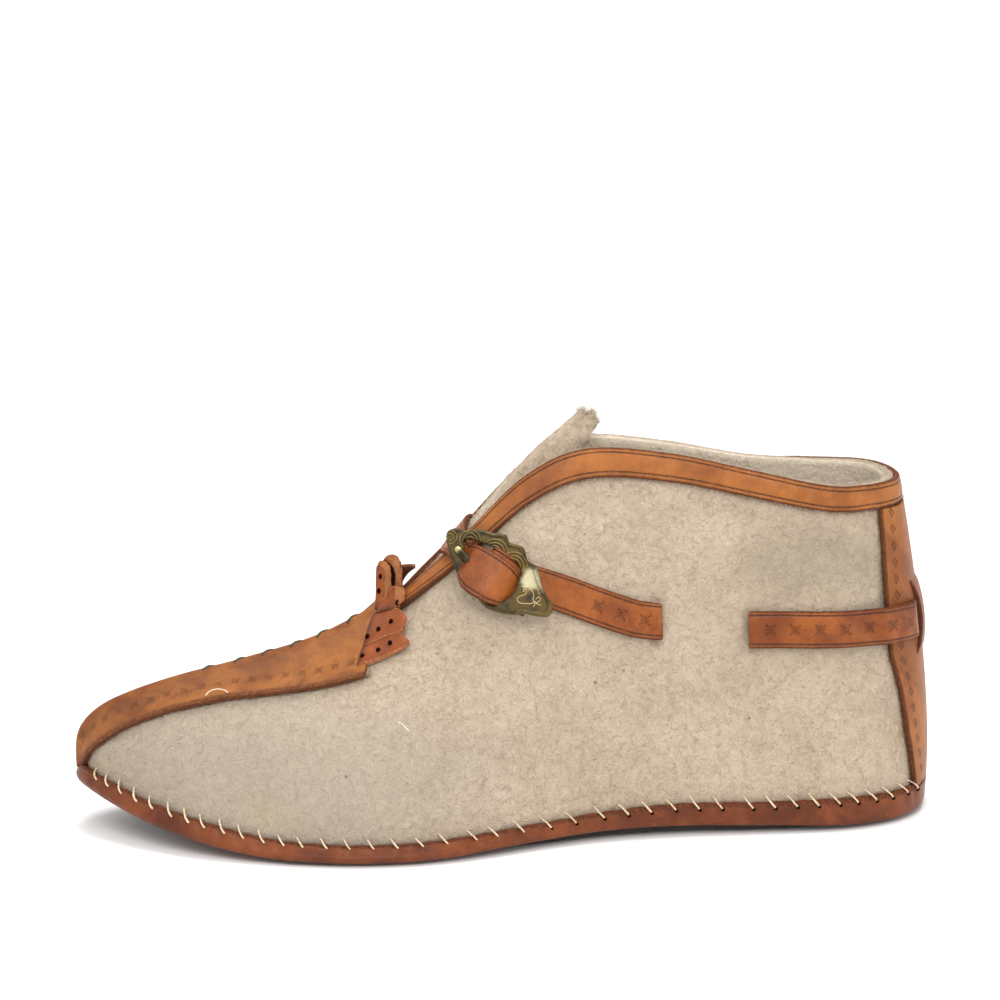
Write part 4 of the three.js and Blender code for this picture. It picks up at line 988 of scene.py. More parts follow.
def build_toe():
    share = np.linspace(-1, 1, 61)
    run = np.linspace(0, 1, 150)
    fold = FOLD_RIDGE + (FOLD_EDGE - FOLD_RIDGE) * np.abs(share)
    S = fold[None] + (STRIP_TIP - fold[None]) * run[:, None]
    R = 1 - (1 - share_at(STRIP_EDGES, S)) * np.abs(share)[None]
    W = side_where(share < 0)[None] + 0 * S
    # the two halves stand up in a pinched seam along the middle
    points = over_felt(S, R, W, 0 * S)
    across = along_mm(points, 1)
    from_seam = np.abs(across - across[:, [len(share) // 2]])
    pinch = (STRIP_PINCH * np.exp(-(from_seam / PINCH_WIDTH) ** 2)
             - GROOVE_DEPTH * np.exp(-((from_seam - GROOVE_AT) / 1.0) ** 2))
    to_edge = np.minimum(across, across[:, [-1]] - across)
    lay = np.stack([along_mm(points, 0)[:, [2]] + 0 * across, to_edge, to_edge], -1)
    outer = STRIP_LIFT + TRIM + pinch
    overlay("toe_strip_leather", S, R, W, STRIP_LIFT + 0 * S, outer, TOE_LEATHER, "toe_strip", lay)


BUCKLE_AT, BUCKLE_HEIGHT, BUCKLE_SLANT = 0.517, 0.665, math.radians(30)
FRAME_BASE = OVER_FELT + STRAP + CLEARANCE + TAIL + CLEARANCE
BAR_HEIGHT = FRAME_BASE + 0.2 * BAR_DIAMETER
BAR_U = -0.085 * BUCKLE_LENGTH
FOLD_RADIUS = BAR_DIAMETER / 2 + CLEARANCE + SKIVED / 2


def buckle_directions():
    """The buckle's middle on the felt, its length, its width and the way off the felt."""
    s, rise = [np.array(v) for v in wall_place(LATERAL, BUCKLE_AT, BUCKLE_HEIGHT)]
    w = felt_normal(s, rise, LATERAL)
    level = unit(np.cross(Z, w))
    upright = np.cross(w, level)
    u = level * math.cos(BUCKLE_SLANT) - upright * math.sin(BUCKLE_SLANT)
    v = level * math.sin(BUCKLE_SLANT) + upright * math.cos(BUCKLE_SLANT)
    return felt(s, rise, LATERAL), u, v, w


ORIGIN, BU, BV, BW = buckle_directions()


def in_buckle(u, v, w):
    return ORIGIN + BU * u + BV * v + BW * w


def buckle_point(px, py, w):
    """Point on the ray of a pixel, w mm over the felt under the buckle."""
    ray = on_ray(px, py, 1.0) - EYE
    return EYE + ray * (((ORIGIN + BW * w - EYE) @ BW) / (ray @ BW))


# strap on the outer side in front of the slits: share of the length, share of the rise
STRAP_LINE = [(0.352, 0.538), (0.371, 0.548), (0.409, 0.580), (0.447, 0.614), (0.4735, 0.6345),
              (0.496, 0.651)]
# round the heel: section, share of a leather's thickness that it lies higher
HEEL_LINE = [(5.1, 0.2), (4.7, 0.2), (4.3, 0.2), (3.9, 0.2), (3.5, 0.2), (3.2, 0.5), (2.95, 1.1), (2.5, 1.1),
             (2.1, 1.1), (1.95, 1), (1.7, 0.45), (1.4, 0.05), (1, 0.05), (0.6, 0.05), (0.25, 0.05)]
# over the instep: run, sideways, height
CROSSING = [(6.0, 13.0, -2.6), (5.0, 8.0, 0.6), (3.4, 2.0, 2.0), (1.6, -3.5, 2.0), (-0.6, -8.0, 2.6)]
CROSSING_AT, CROSSING_HEIGHT, CROSSING_SLOPE = 0.5644, 0.722, math.radians(44)
CROSSING_WIDTH, CROSSING_ROOT = 8.0, 8
# across the buckle: run, sideways, share of the height over the bar, skew, width
TAIL_LINE = [(-18, 0.2, -0.12, 0.4, 8.8), (-14, -1.4, -0.04, 0.5, 9.2), (-11.8, -2.4, 0.15, 0.5, 10.4),
             (-10.2, -3.0, 0.62, 0.4, 12.2), (-8.6, -3.6, 1.02, 0.3, 13.4), (-6.3, -3.9, 1.14, 0.1, 14.2),
             (-4, -4.0, 1.18, 0, 14.6), (-1.7, -4.0, 1.2, 0, 14.6), (0.6, -4.0, 1.18, 0, 14.4),
             (2.6, -3.9, 1.04, -0.1, 13.8), (4.3, -3.7, 0.62, -0.15, 12.6), (5.8, -3.4, 0.15, -0.1, 11.2),
             (8.5, -3.1, 0, 0, 10), (13, -3.2, 0, 0, 9.6)]
# the skived end that folds round the bar: run, drop; and its place across the buckle and width
FOLD_LINE, FOLD_V, FOLD_WIDTH = [(8.5, 2.5), (7, 2.0), (4.5, 0.9), (2, 0.15)], 0.9, 9.8


def on_wall(side, place, off):
    point, normal, _ = wall_frame(side, *place)
    return dict(ground=point, place=point + normal * off, facing=-normal)


def at_slit(side, slit, off, mitre):
    place = wall_place(side, *slit)
    heading = wall_frame(side, *place)[2] * (-1 if side == LATERAL else 1)
    return dict(on_wall(side, place, off), heading=heading, mitre=mitre)


def loose(place, facing, **more):
    return dict(ground=place, place=place, facing=facing, **more)


def strap_stops():
    """Stops of the strap from the bar round the heel and back over the buckle."""
    outside, inside = OVER_FELT + STRAP / 2, -FELT - CLEARANCE - STRAP / 2
    skived = dict(thick=SKIVED, width=FOLD_WIDTH)
    end = BAR_HEIGHT + FOLD_RADIUS
    stops = [loose(in_buckle(BAR_U + run, FOLD_V, end - drop), BW, **skived) for run, drop in FOLD_LINE]
    for degrees in range(90, 271, 30):
        a = math.radians(degrees)
        facing = BU * math.cos(a) + BW * math.sin(a)
        stops.append(loose(in_buckle(BAR_U, FOLD_V, BAR_HEIGHT) + facing * FOLD_RADIUS, facing, **skived))
    stops.append(loose(in_buckle(BAR_U + 3.6, 0, OVER_FELT + 0.75 * STRAP), -BW, thick=0.75 * STRAP))
    stops += [on_wall(LATERAL, wall_place(LATERAL, at, h), outside) for at, h in STRAP_LINE[::-1]]
    rear, front = SLITS
    middle = ((rear[0] + front[0]) / 2, (rear[1] + front[1]) / 2)
    z = height_of(STRAP_RISE)

    def heel(side, s, up):
        return on_wall(side, (s, float(rise_at(s, z, side))), outside + up * (TRIM + CLEARANCE))

    def under_felt(side, slits):
        first, last = slits
        return ([at_slit(side, first, off, -1) for off in (outside, inside)]
                + [on_wall(side, wall_place(side, *middle), inside)]
                + [at_slit(side, last, off, 1) for off in (inside, outside)])
    stops += under_felt(LATERAL, (front, rear))
    stops += [heel(LATERAL, *h) for h in HEEL_LINE] + [heel(LATERAL, 0, 0.05)]
    stops += [heel(MEDIAL, *h) for h in HEEL_LINE[::-1]]
    stops += under_felt(MEDIAL, (rear, front))
    stops += [on_wall(MEDIAL, wall_place(MEDIAL, at, h), outside) for at, h in STRAP_LINE]
    along = np.array([math.cos(CROSSING_SLOPE), 0, math.sin(CROSSING_SLOPE)])
    out = np.array([-math.sin(CROSSING_SLOPE), 0, math.cos(CROSSING_SLOPE)])
    mid = np.array([HEEL_REACH - BODY_LENGTH * CROSSING_AT, 0, height_of(CROSSING_HEIGHT)])
    for run, sideways, rise in CROSSING:
        p = mid + along * run + out * rise
        p[1] = sideways
        facing = unit(np.array([0, -sideways, 0]) + out * (-rise - CROSSING_ROOT))
        stops.append(loose(p, facing, thick=TAIL, width=CROSSING_WIDTH))
    low = FRAME_BASE - CLEARANCE - TAIL / 2
    high = BAR_HEIGHT + FOLD_RADIUS + SKIVED / 2 + CLEARANCE + TAIL / 2
    for u, v, share, skew, width in TAIL_LINE:
        place = in_buckle(u, v, low + share * (high - low))
        stops.append(loose(place, -BW, thick=TAIL, width=width, skew=skew))
    return stops


def other_ground(stops, stop):
    """The first of the stops that lies elsewhere."""
    return next((o for o in stops if np.linalg.norm(o["ground"] - stop["ground"]) > 0.01), stop)["ground"]


# on loose lengths the stamps are moved off the strap by this much
STAMPS_AWAY = 40


def build_strap():
    stops = strap_stops()
    rings, widths, plain = [], [], []
    for k, stop in enumerate(stops):
        heading = stop.get("heading")
        if heading is None:
            heading = unit(other_ground(stops[k + 1:], stop) - other_ground(stops[:k][::-1], stop))
        across = unit(np.cross(stop["facing"], heading))
        inward = np.cross(heading, across)
        if stop.get("mitre"):
            heading = unit(heading - stop["facing"] * (heading @ stop["facing"]))
        half = stop.get("thick", STRAP) / 2
        width = stop.get("width", STRAP_WIDTH)
        sideways = (across + BU * stop.get("skew", 0)) * width / 2
        lean = heading * half * stop.get("mitre", 0)
        inner, outer = stop["place"] + inward * half + lean, stop["place"] - inward * half - lean
        rings.append([inner - sideways, inner + sideways, outer + sideways, outer - sideways])
        widths.append([width])
        plain.append([1.0 if stop["ground"] is stop["place"] else 0.0])
    rings, widths, plain = smooth_rows(rings, 7), smooth_rows(widths, 7)[:, 0], smooth_rows(plain, 7)[:, 0]
    # rounded section: inner face, edge, crowned outer face, edge
    t = np.concatenate([[0, 0.02, 0.06], np.linspace(0.1, 0.9, 13), [0.94, 0.98, 1]])
    rounded = np.sqrt(np.clip(1 - (np.clip(np.abs(t - 0.5) * 2 - 0.9, 0, 0.1) / 0.1) ** 2, 0, 1))
    low = 0.5 - 0.5 * rounded * 0.92 - 0.04
    section = list(zip(t, low)) + list(zip(t[::-1], (1 - low)[::-1]))
    run = along_mm(rings.mean(1))
    points, lay = [], []
    for k, (a, b, c, d) in enumerate(rings):
        points.append([(a * (1 - p) + b * p) * (1 - q) + (d * (1 - p) + c * p) * q for p, q in section])
        lay.append([(run[k], p * widths[k] - STAMPS_AWAY * (plain[k] > 0.4), min(p, 1 - p) * widths[k])
                    for p, q in section])
    points = np.array(points)
    rows, cols = points.shape[:2]
    piece("ankle_strap_leather", points.reshape(-1, 3), quads(rows, cols, wrap=True) + ends(rows, cols),
          STRAP_LEATHER, "strap_leather", "ankle_strap", lay=np.reshape(lay, (-1, 3)), merge=0)


# the frame in shares of the buckle's length and width
FRAME_OUTLINE = [
    (-0.50, 0.04), (-0.473, 0.19), (-0.39, 0.25), (-0.305, 0.38), (-0.20, 0.445), (-0.122, 0.52),
    (-0.059, 0.45), (0.044, 0.495), (0.124, 0.365), (0.215, 0.335), (0.334, 0.125), (0.468, -0.03),
    (0.483, -0.195), (0.405, -0.29), (0.332, -0.35), (0.263, -0.45), (0.168, -0.535), (0.063, -0.585),
    (-0.044, -0.54), (-0.122, -0.545), (-0.21, -0.47), (-0.293, -0.345), (-0.405, -0.18)]
FRAME_OPENING = [
    (-0.366, 0.11), (-0.317, 0.18), (-0.256, 0.215), (-0.098, 0.26), (0.061, 0.24), (0.137, 0.17),
    (0.156, 0), (0.171, -0.17), (0.156, -0.31), (0.098, -0.42), (-0.024, -0.475), (-0.122, -0.465),
    (-0.205, -0.4), (-0.239, -0.325), (-0.266, -0.18), (-0.322, -0.01)]
FRAME_MIDDLE = np.array([-3.0, -2.0])
# shells along the frame: pixel of the hinge of each, radius of its fan in mm
SHELLS = [((470, 540), 4.2), ((494, 553), 5.0), ((513, 566), 5.0), ((450, 537), 3.2)]
SHELL_PITCH, MILLING_PITCH, MILLING_WIDTH, MILLED_FROM, RELIEF, FACE_HEIGHT = 1.05, 0.85, 1.6, 11, 0.30, 1.9
# scrolls on the point of the frame (pixels)
SCROLLS = [
    [(525.5, 592), (523.2, 591.3), (524.3, 589.2), (526.6, 590.5), (526, 593.6), (522.4, 595.5),
     (518.4, 597.1), (517.2, 600.7), (520.8, 603.1), (526.3, 603.7), (531.8, 603.4), (535.5, 601.2)],
    [(523.2, 588.1), (525.5, 586.5), (528.7, 587), (531.8, 590.5), (533.9, 594.4), (533, 598.4),
     (533.9, 601.5), (537.4, 603.9), (541.3, 605.5)],
    [(535.5, 599.2), (538.6, 597.1), (540.5, 599.2), (538.3, 601.8), (535.5, 603.1), (533.4, 607.1)]]
# prong over the frame: pixel, height over its root on the frame
PRONG_TOP = FRAME_BASE + BUCKLE_PLATE + 0.9
PRONG_PIXELS = [(477, 568, 0.6), (471, 562.5, 0.5), (464.5, 556, 0.3), (458.5, 549.8, -0.1),
                (456.6, 547.6, -0.4)]
PRONG_V, PRONG_RADIUS, PRONG_SIDES, BAR_RADIUS, SCROLL_RADIUS = -2.2, 1.25, 14, 0.95, 0.15
PRONG_HOLE, PRONG_HOLE_DROP, PRONG_HOLE_SHADE_SIZE = (473.5, 564.5), -0.2, (1.5, 1.2, 1.5)


def rounding(distance, radius):
    return np.sqrt(np.clip(1 - (1 - np.clip(distance / radius, 0, 1)) ** 2, 0, 1))


def build_frame():
    angle = np.linspace(-math.pi, math.pi, 460, endpoint=False)

    def radii(rows):
        p = smooth_rows(np.array(rows) * [BUCKLE_LENGTH, BUCKLE_WIDTH], 12, closed=True) - FRAME_MIDDLE
        a = np.arctan2(p[:, 1], p[:, 0])
        k = np.argsort(a)
        return np.interp(angle, a[k], np.linalg.norm(p, axis=1)[k], period=2 * math.pi)
    inner, outer = radii(FRAME_OPENING), radii(FRAME_OUTLINE)
    t = 0.5 - 0.5 * np.cos(np.linspace(0, math.pi, 40))
    radius = inner[:, None] + (outer - inner)[:, None] * t[None]
    u = FRAME_MIDDLE[0] + radius * np.cos(angle)[:, None]
    v = FRAME_MIDDLE[1] + radius * np.sin(angle)[:, None]
    wide = (outer - inner)[:, None]
    near_out, near_in = (1 - t)[None] * wide, t[None] * wide
    high = 1.0 + 0.55 * rounding(near_out, 1.3) + 0.30 * rounding(near_in, 0.8)
    high += 0.22 * np.exp(-((near_out - 0.9) / 0.45) ** 2)
    relief = 0 * high
    for (px, py), reach in SHELLS:
        hinge = buckle_point(px, py, FRAME_BASE + FACE_HEIGHT) - ORIGIN
        d = np.hypot(u - hinge @ BU, v - hinge @ BV)
        ribs = 0.5 + 0.5 * np.cos(2 * math.pi * d / SHELL_PITCH)
        relief += np.clip((reach - d) / 0.7, 0, 1) * ribs * np.clip(d / 1.0, 0, 1)
    run = np.cumsum(np.hypot(np.gradient(u[:, -1]), np.gradient(v[:, -1])))
    nicks = (0.5 + 0.5 * np.cos(2 * math.pi * run / MILLING_PITCH))[:, None]
    relief = np.maximum(relief, np.clip((MILLING_WIDTH - near_out) / 0.5, 0, 1) * (u > MILLED_FROM) * nicks)
    high += RELIEF * relief

    def grid(height):
        return in_buckle(u[..., None], v[..., None], (FRAME_BASE + height)[..., None])
    top, low = grid(high), grid(0.0 * high)[:, [0, -1]]
    rows, cols = top.shape[0], top.shape[1] + 2
    loop = list(range(cols - 2)) + [cols - 1, cols - 2]
    faces = []
    for i in range(rows):
        k = (i + 1) % rows
        for a, b in zip(loop, loop[1:] + loop[:1]):
            faces.append((i * cols + a, k * cols + a, k * cols + b, i * cols + b))
    below = 0 * relief[:, :2]
    # the relief and the distance to the edges, which the brass paints lighter as highlights
    relief_highlight = np.concatenate([relief, below], 1)
    edge = np.concatenate([np.minimum(near_out, near_in), below], 1)
    points = np.concatenate([top, low], 1).reshape(-1, 3)
    piece("buckle_plate", points, faces, AGED_BRASS, "brass", "buckle_frame",
          lay=np.stack([relief_highlight, edge, 0 * relief_highlight], -1).reshape(-1, 3), merge=0)


def build_buckle():
    build_frame()
    scrolls = []
    for pixels in SCROLLS:
        path = [buckle_point(x, y, FRAME_BASE + FACE_HEIGHT) for x, y in pixels]
        scrolls.append(tube(smooth_rows(path, 4), SCROLL_RADIUS, 6))
    # the scrolls take most of the painted highlight colour
    piece("buckle_scrolls", *join(scrolls), HIGHLIGHT_BRASS, "brass", merge=0)
    # prong: from the bar up through the strap, its tip on the left lobe
    path = [in_buckle(BAR_U, PRONG_V, BAR_HEIGHT + 0.6), in_buckle(BAR_U - 2.5, PRONG_V, BAR_HEIGHT + 1.6)]
    path = smooth_rows(path + [buckle_point(x, y, PRONG_TOP + up) for x, y, up in PRONG_PIXELS], 5)
    share = np.linspace(0, 1, len(path))
    taper = np.interp(share, [0, 0.5, 0.85, 0.96, 1], [1, 1, 0.85, 0.7, 0.3])
    # painted highlight over the last part of the prong
    painted_highlight = np.repeat(np.interp(share, [0, 0.76, 0.84, 1], [0, 0, 1, 1]), PRONG_SIDES)
    piece("buckle_tongue_prong", *tube(path, PRONG_RADIUS, PRONG_SIDES, taper), AGED_BRASS, "brass",
          "buckle_prong", lay=np.stack([0 * painted_highlight, 0 * painted_highlight + 2, painted_highlight], -1), merge=0)
    # bar across the frame, and a dark ball as painted shade in the hole where the prong comes through
    bar = [in_buckle(BAR_U, v, BAR_HEIGHT - drop) for v, drop in ((-10.2, 0.2), (0, 0), (7, 0.2))]
    piece("buckle_bar", *tube(bar, BAR_RADIUS, 10), AGED_BRASS, "brass", merge=0)
    hole_shade = ball(buckle_point(*PRONG_HOLE, PRONG_TOP + PRONG_HOLE_DROP), PRONG_HOLE_SHADE_SIZE)
    piece("prong_hole_shade", *hole_shade, HOLE_SHADE, "strap_leather", merge=0)


# Fringe: rows of each tooth, its left and right edge in the picture, each with its height over the felt (mm)
TEETH = {
    "low": [(363, 645.5, 2.2, 356.5, 665.5, 2.2), (375.5, 640.7, 2.8, 368, 661.6, 2.6),
            (387.4, 635.5, 3.2, 383.4, 656, 2.9), (398.5, 633.2, 3.6, 395.5, 650.8, 3.0),
            (405, 636.6, 3.4, 403.8, 646.8, 2.9), (409.8, 641, 2.6, 409.6, 643, 2.3)],
    "middle": [(373, 613.5, 2.6, 362.5, 646.5, 2.4), (381, 609, 3.4, 375, 640.5, 3.4),
               (390.5, 607, 4.2, 387, 635, 4.0), (399, 609, 4.8, 397, 632.5, 4.2),
               (404, 613.6, 4.6, 402.8, 627, 4.2), (407, 617, 3.8, 406.2, 622, 3.6)],
    "centre": [(374.5, 614, 2.8, 393, 608.5, 4.4), (380.5, 603, 3.6, 397.2, 603, 5.0),
               (385, 594, 4.2, 398.6, 592, 5.2), (388.5, 587, 4.4, 398.5, 585.5, 4.8)],
    "standing": [(373.8, 611, 1.8, 383.5, 607, 3.0), (375.3, 598, 1.8, 383, 599, 3.4),
                 (375.6, 586, 1.8, 384.3, 588, 3.6), (375.8, 575, 1.6, 385, 577, 3.6),
                 (376.3, 567, 1.4, 384.6, 569.5, 3.4), (379, 563.2, 0.8, 383.4, 565.5, 2.6)]}
RAW_TEETH = {
    "small": [(396, 586, 5.2, 394.5, 604.5, 5.2), (400.5, 586.6, 5.6, 399.8, 604, 5.4),
              (406, 590.5, 5.0, 404.2, 601, 4.8)],
    "first": [(383.5, 601, 4.0, 391.5, 596, 4.6), (384, 590, 4.0, 391.2, 587, 4.6),
              (385, 578, 3.8, 391.2, 575, 4.4), (383.8, 571, 3.4, 389.8, 567, 4.0),
              (380.6, 566.6, 2.8, 386, 561.6, 3.2), (377.6, 565.8, 2.0, 380, 560.8, 2.2)],
    "second": [(394.5, 589, 3.6, 402.2, 588, 4.2), (395, 577, 3.4, 402, 574, 4.0),
               (393.5, 568.5, 3.2, 400.6, 563.6, 3.8), (390, 563.8, 2.8, 396.6, 556.4, 3.2),
               (386.4, 562, 2.2, 390.6, 554.6, 2.6), (383.6, 561.2, 1.6, 385.6, 556.6, 1.8)]}
# teeth further back, drawn in the darker leather copy as painted shade
FAR_TEETH = {
    "far": [(399, 566, -6, 399, 590, -6), (404, 565, -8, 405, 578, -8), (409, 564.4, -9, 410, 572, -9),
            (415, 565, -9, 414.6, 568.4, -9)],
    "behind": [(384, 566, -3, 384, 604, -3), (391, 561, -3, 391, 604, -3), (400, 570, -3, 398, 604, -3)]}
INNER_TEETH = {name: TEETH[name] for name in ("low", "middle")}
# punched holes, each filled by a dark ball as painted shade: pixel, height over the felt
PUNCHED = [(362.5, 656.2, 2.6), (378.2, 650.2, 3.1), (390, 643, 3.6), (367.3, 636.6, 3.2),
           (378.4, 629.3, 3.8), (391, 621.6, 4.6), (380.9, 576.6, 3.0), (379, 591, 3.0),
           (397.4, 602.7, 5.6), (389, 599.5, 4.9)]
PUNCHED_SHADE_SIZE, RAW_THICKNESS, FAR_THICKNESS, TOOTH_BEVEL, TOOTH_CROWN = (0.72, 0.5, 0.95), 5.0, 1.4, 0.3, 0.35
# a lay beyond the stamps
NO_STAMPS = 30


def picture_table(sections, rises, off):
    """Sections and rises over a part of the outer wall, and their pixels off mm over the felt."""
    S, R = np.meshgrid(np.linspace(*sections), np.linspace(*rises), indexing="ij")
    return S, R, project(over_felt(S, R, LATERAL, 0 * S + off))


FRINGE_WALL = picture_table((9.0, 14.0, 220), (0.4, 1, 90), 1.5)


def picture_place(px, py, off, table=FRINGE_WALL):
    """Point on the ray of a pixel, off mm nearer than the felt there, with its section and rise."""
    S, R, pixels = table
    k = np.unravel_index(np.argmin(((pixels - (px, py)) ** 2).sum(-1)), S.shape)
    return on_ray(px, py, (EYE - felt(S[k], R[k], LATERAL)) @ BACK - off), S[k], R[k]


def tooth(rows, thick, far):
    """One tooth of the fringe. far: on the inner side, in the same place as in the picture."""
    edges = []
    for start in (0, 3):
        edge = []
        for row in rows:
            point, s, rise = picture_place(*row[start:start + 3])
            edge.append(over_felt(s, rise, MEDIAL, row[start + 2]) if far else point)
        edges.append(smooth_rows(edge, 6))
    t = np.linspace(0, 1, 13)
    outer = edges[0][:, None] * (1 - t)[None, :, None] + edges[1][:, None] * t[None, :, None]
    n = unit(np.cross(np.gradient(outer, axis=0), np.gradient(outer, axis=1)))
    n *= np.where((n * (Z if far else BACK)).sum(-1) < 0, -1, 1)[..., None]
    outer = outer + n * (TOOTH_CROWN * np.sin(math.pi * t))[None, :, None]
    lay = lay_of(outer)
    run = lay[..., 0]
    lay[..., 1] = NO_STAMPS
    lay[..., 2] = np.minimum(lay[..., 2], run[-1:] - run)
    raw = thick == RAW_THICKNESS
    if raw:
        outer = outer + (BACK * 0.5 + RIGHT * 0.35) * ripples(outer, (1.3, 1), (3.0, 0.7))[..., None]
    verts, faces = sheet_mesh(outer, outer - (BACK if raw else n) * thick)
    lay = lay.reshape(-1, 3)
    return verts, faces, np.concatenate([lay, lay])


def build_fringe():
    for name, teeth, look, thick, far, node in (
            ("fringe_teeth", TEETH, FRINGE_LEATHER, FRINGE, False, "fringe"),
            ("fringe_raw_teeth", RAW_TEETH, FRINGE_RAW, RAW_THICKNESS, False, None),
            ("fringe_far_shaded", FAR_TEETH, FRINGE_SHADED, FAR_THICKNESS, False, None),
            ("fringe_inner_side", INNER_TEETH, FRINGE_LEATHER, FRINGE, True, None)):
        parts = [tooth(rows, thick, far) for rows in teeth.values()]
        piece(name, *join([part[:2] for part in parts]), look, "strap_leather", node,
              lay=np.concatenate([part[2] for part in parts]), bevel=TOOTH_BEVEL, merge=0)
    hole_shades = [ball(picture_place(x, y, off)[0], PUNCHED_SHADE_SIZE) for x, y, off in PUNCHED]
    piece("fringe_hole_shades", *join(hole_shades), HOLE_SHADE, "strap_leather", merge=0)


# ridge of the tongue: share of the length, share of the rise
TONGUE_CREST = [(0.613, 0.567), (0.588, 0.623), (0.561, 0.699), (0.533, 0.782), (0.503, 0.888),
                (0.474, 0.962), (0.440, 1.030), (0.412, 1.085)]
# torn upper edge: share of the width, how far the edge is pulled back (mm)
TONGUE_EDGE = [(0, 2.0), (0.04, 0.4), (0.08, 2.0), (0.12, -1.6), (0.17, 0.6), (0.21, -1.2), (0.25, 1.5),
               (0.31, 9.5), (0.38, 6.6), (0.46, 8.2), (0.55, 6.8), (0.7, 8.4), (0.85, 7.4), (1, 9)]
TONGUE_DROP, TONGUE_ROUND, TORN_ROWS = 27, 0.3, 19


def tongue_half(p, drop, side, inner):
    """Half the width of the folded tongue at points of its wall, so that it stays inside the felt."""
    s_all = np.linspace(0, THROAT, 500)
    s = np.interp(-p[..., 0], -top_point(s_all, side)[..., 0], s_all)
    z = np.minimum(p[..., 2], top_point(s, side)[..., 2])
    rise = np.minimum(rise_at(s, z, side), 1)
    wall, n = felt(s, rise, side), felt_normal(s, np.minimum(rise, 0.98), side)
    across = np.abs(n[..., 1])
    room = np.abs(wall[..., 1]) - (FELT + 2 * CLEARANCE) / np.maximum(across, 0.5)
    rounded = np.sin(np.minimum(1, (drop + 1) / (TONGUE_ROUND * TONGUE_DROP)) * math.pi / 2)
    half = np.maximum(room, TONGUE + 0.5) * rounded
    return np.maximum(half - TONGUE / np.maximum(across, 0.7), 0.25 + 0.02 * drop) if inner else half


def build_tongue():
    """Tongue. Returns the points of its outer face."""
    crest = smooth_rows([[HEEL_REACH - BODY_LENGTH * a, 0, height_of(h)] for a, h in TONGUE_CREST], 9)
    share = np.linspace(-1, 1, 81)
    forward = unit(np.gradient(crest, axis=0))
    down = stack(forward[:, 2], 0, -forward[:, 0])
    drop = TONGUE_DROP * np.abs(share)
    end = np.clip((np.arange(len(crest)) - len(crest) + TORN_ROWS) / (TORN_ROWS - 1), 0, 1)
    pull = share_at(TONGUE_EDGE, np.abs(share))[None] * end[:, None] ** 2
    side = side_where(share < 0)
    grids = []
    for inner in (False, True):
        p = crest[:, None] + down[:, None] * drop[None, :, None] - forward[:, None] * pull[..., None]
        if inner:
            p = p + down[:, None] * (TONGUE * np.exp(-drop / TONGUE))[None, :, None]
        rough = ripples(p, (0.35, 1), (0.9, 0.6))
        half = np.stack([tongue_half(p[:, k], drop[k], side[k], inner) for k in range(len(share))], 1)
        p[..., 1] = side[None] * half + 0.5 * rough * (drop[None] < 20)
        p[..., 2] += 0.3 * rough
        grids.append(p)
    piece("tongue_felt", *sheet_mesh(*grids), FELT_OUTSIDE, "felt", "tongue", merge=0)
    return grids[0]


HAIR_TAPER, HAIR_CORNERS = (1.0, 0.85, 0.35), (0, 2.094, 4.189)


def fibres(name, roots, normals, length, radius, look, flat):
    """Short hairs: three-sided, two bends, in mm. flat: 1 where they lie on the surface."""
    rng = np.random.default_rng(len(roots))
    n = len(roots)
    t = unit(np.cross(normals, rng.normal(size=(n, 3))))
    b = np.cross(normals, t)
    size = length * rng.uniform(0.5, 1.3, (n, 1))
    up = rng.uniform(0.3, 1.0, (n, 1)) * (1 - flat)
    bend = rng.uniform(-0.5, 0.5, (n, 1))
    path = [roots - normals * 0.15, roots + (t * 0.5 + normals * up) * size,
            roots + (t + normals * up * 0.8 + b * bend) * size]
    verts = [p + radius * taper * (b * math.cos(a) + normals * math.sin(a))
             for p, taper in zip(path, HAIR_TAPER) for a in HAIR_CORNERS]
    verts = np.stack(verts, 1).reshape(-1, 3)
    faces = [(i + k + a, i + k + (a + 1) % 3, i + k + 3 + (a + 1) % 3, i + k + 3 + a)
             for i in range(0, len(verts), 9) for k in (0, 3) for a in range(3)]
    piece(name, verts, faces, look, "felt", merge=0)


WOOL_RADIUS, HAIR_RADIUS = 0.045, 0.06


def build_wool(tongue):
    rng = np.random.default_rng(11)
    roots, normals = [], []
    for side, n in ((LATERAL, 7500), (MEDIAL, 3500)):
        s, rise = rng.uniform(0.6, 17.5, n), rng.uniform(0.05, 0.93, n)
        top = np.where(s > THROAT, share_at(STRIP_EDGES, s) - 0.02, 0.9)
        keep = rise < top
        s, rise = s[keep], rise[keep]
        w = np.full(len(s), float(side))
        roots.append(over_felt(s, rise, w, 0.1 + 0 * s))
        normals.append(felt_normal(s, rise, w))
    fibres("felt_hairs", np.concatenate(roots), np.concatenate(normals), 1.1, WOOL_RADIUS, WOOL_HAIR, 0.75)
    # round the tongue and the felt of the collar
    rows, cols = tongue.shape[:2]
    k = rng.integers(0, rows, 2600)
    j = np.clip((rng.normal(40, 10, 2600)).astype(int), 0, cols - 1)
    k, j = np.concatenate([k, np.full(1400, rows - 1)]), np.concatenate([j, rng.integers(0, cols, 1400)])
    roots = tongue[k, j] + rng.normal(0, 0.25, (len(k), 3))
    normals = unit(rng.normal(size=(len(k), 3)) * [1, 0.8, 1] + [-0.8, -0.3, 0.9])
    fibres("tongue_hairs", roots, normals, 1.7, WOOL_RADIUS, WOOL_HAIR, 0.2)
    a = rng.uniform(-THROAT, THROAT, 2600)
    s, w = np.abs(a), side_where(a < 0)
    roots = top_point(s, w) - out_in_plan(s, w) * rng.uniform(0.2, 3.0, (len(a), 1))
    normals = unit(rng.normal(size=(len(a), 3)) * 0.6 + Z)
    fibres("collar_hairs", roots, normals, 0.8, WOOL_RADIUS, WOOL_HAIR, 0.3)


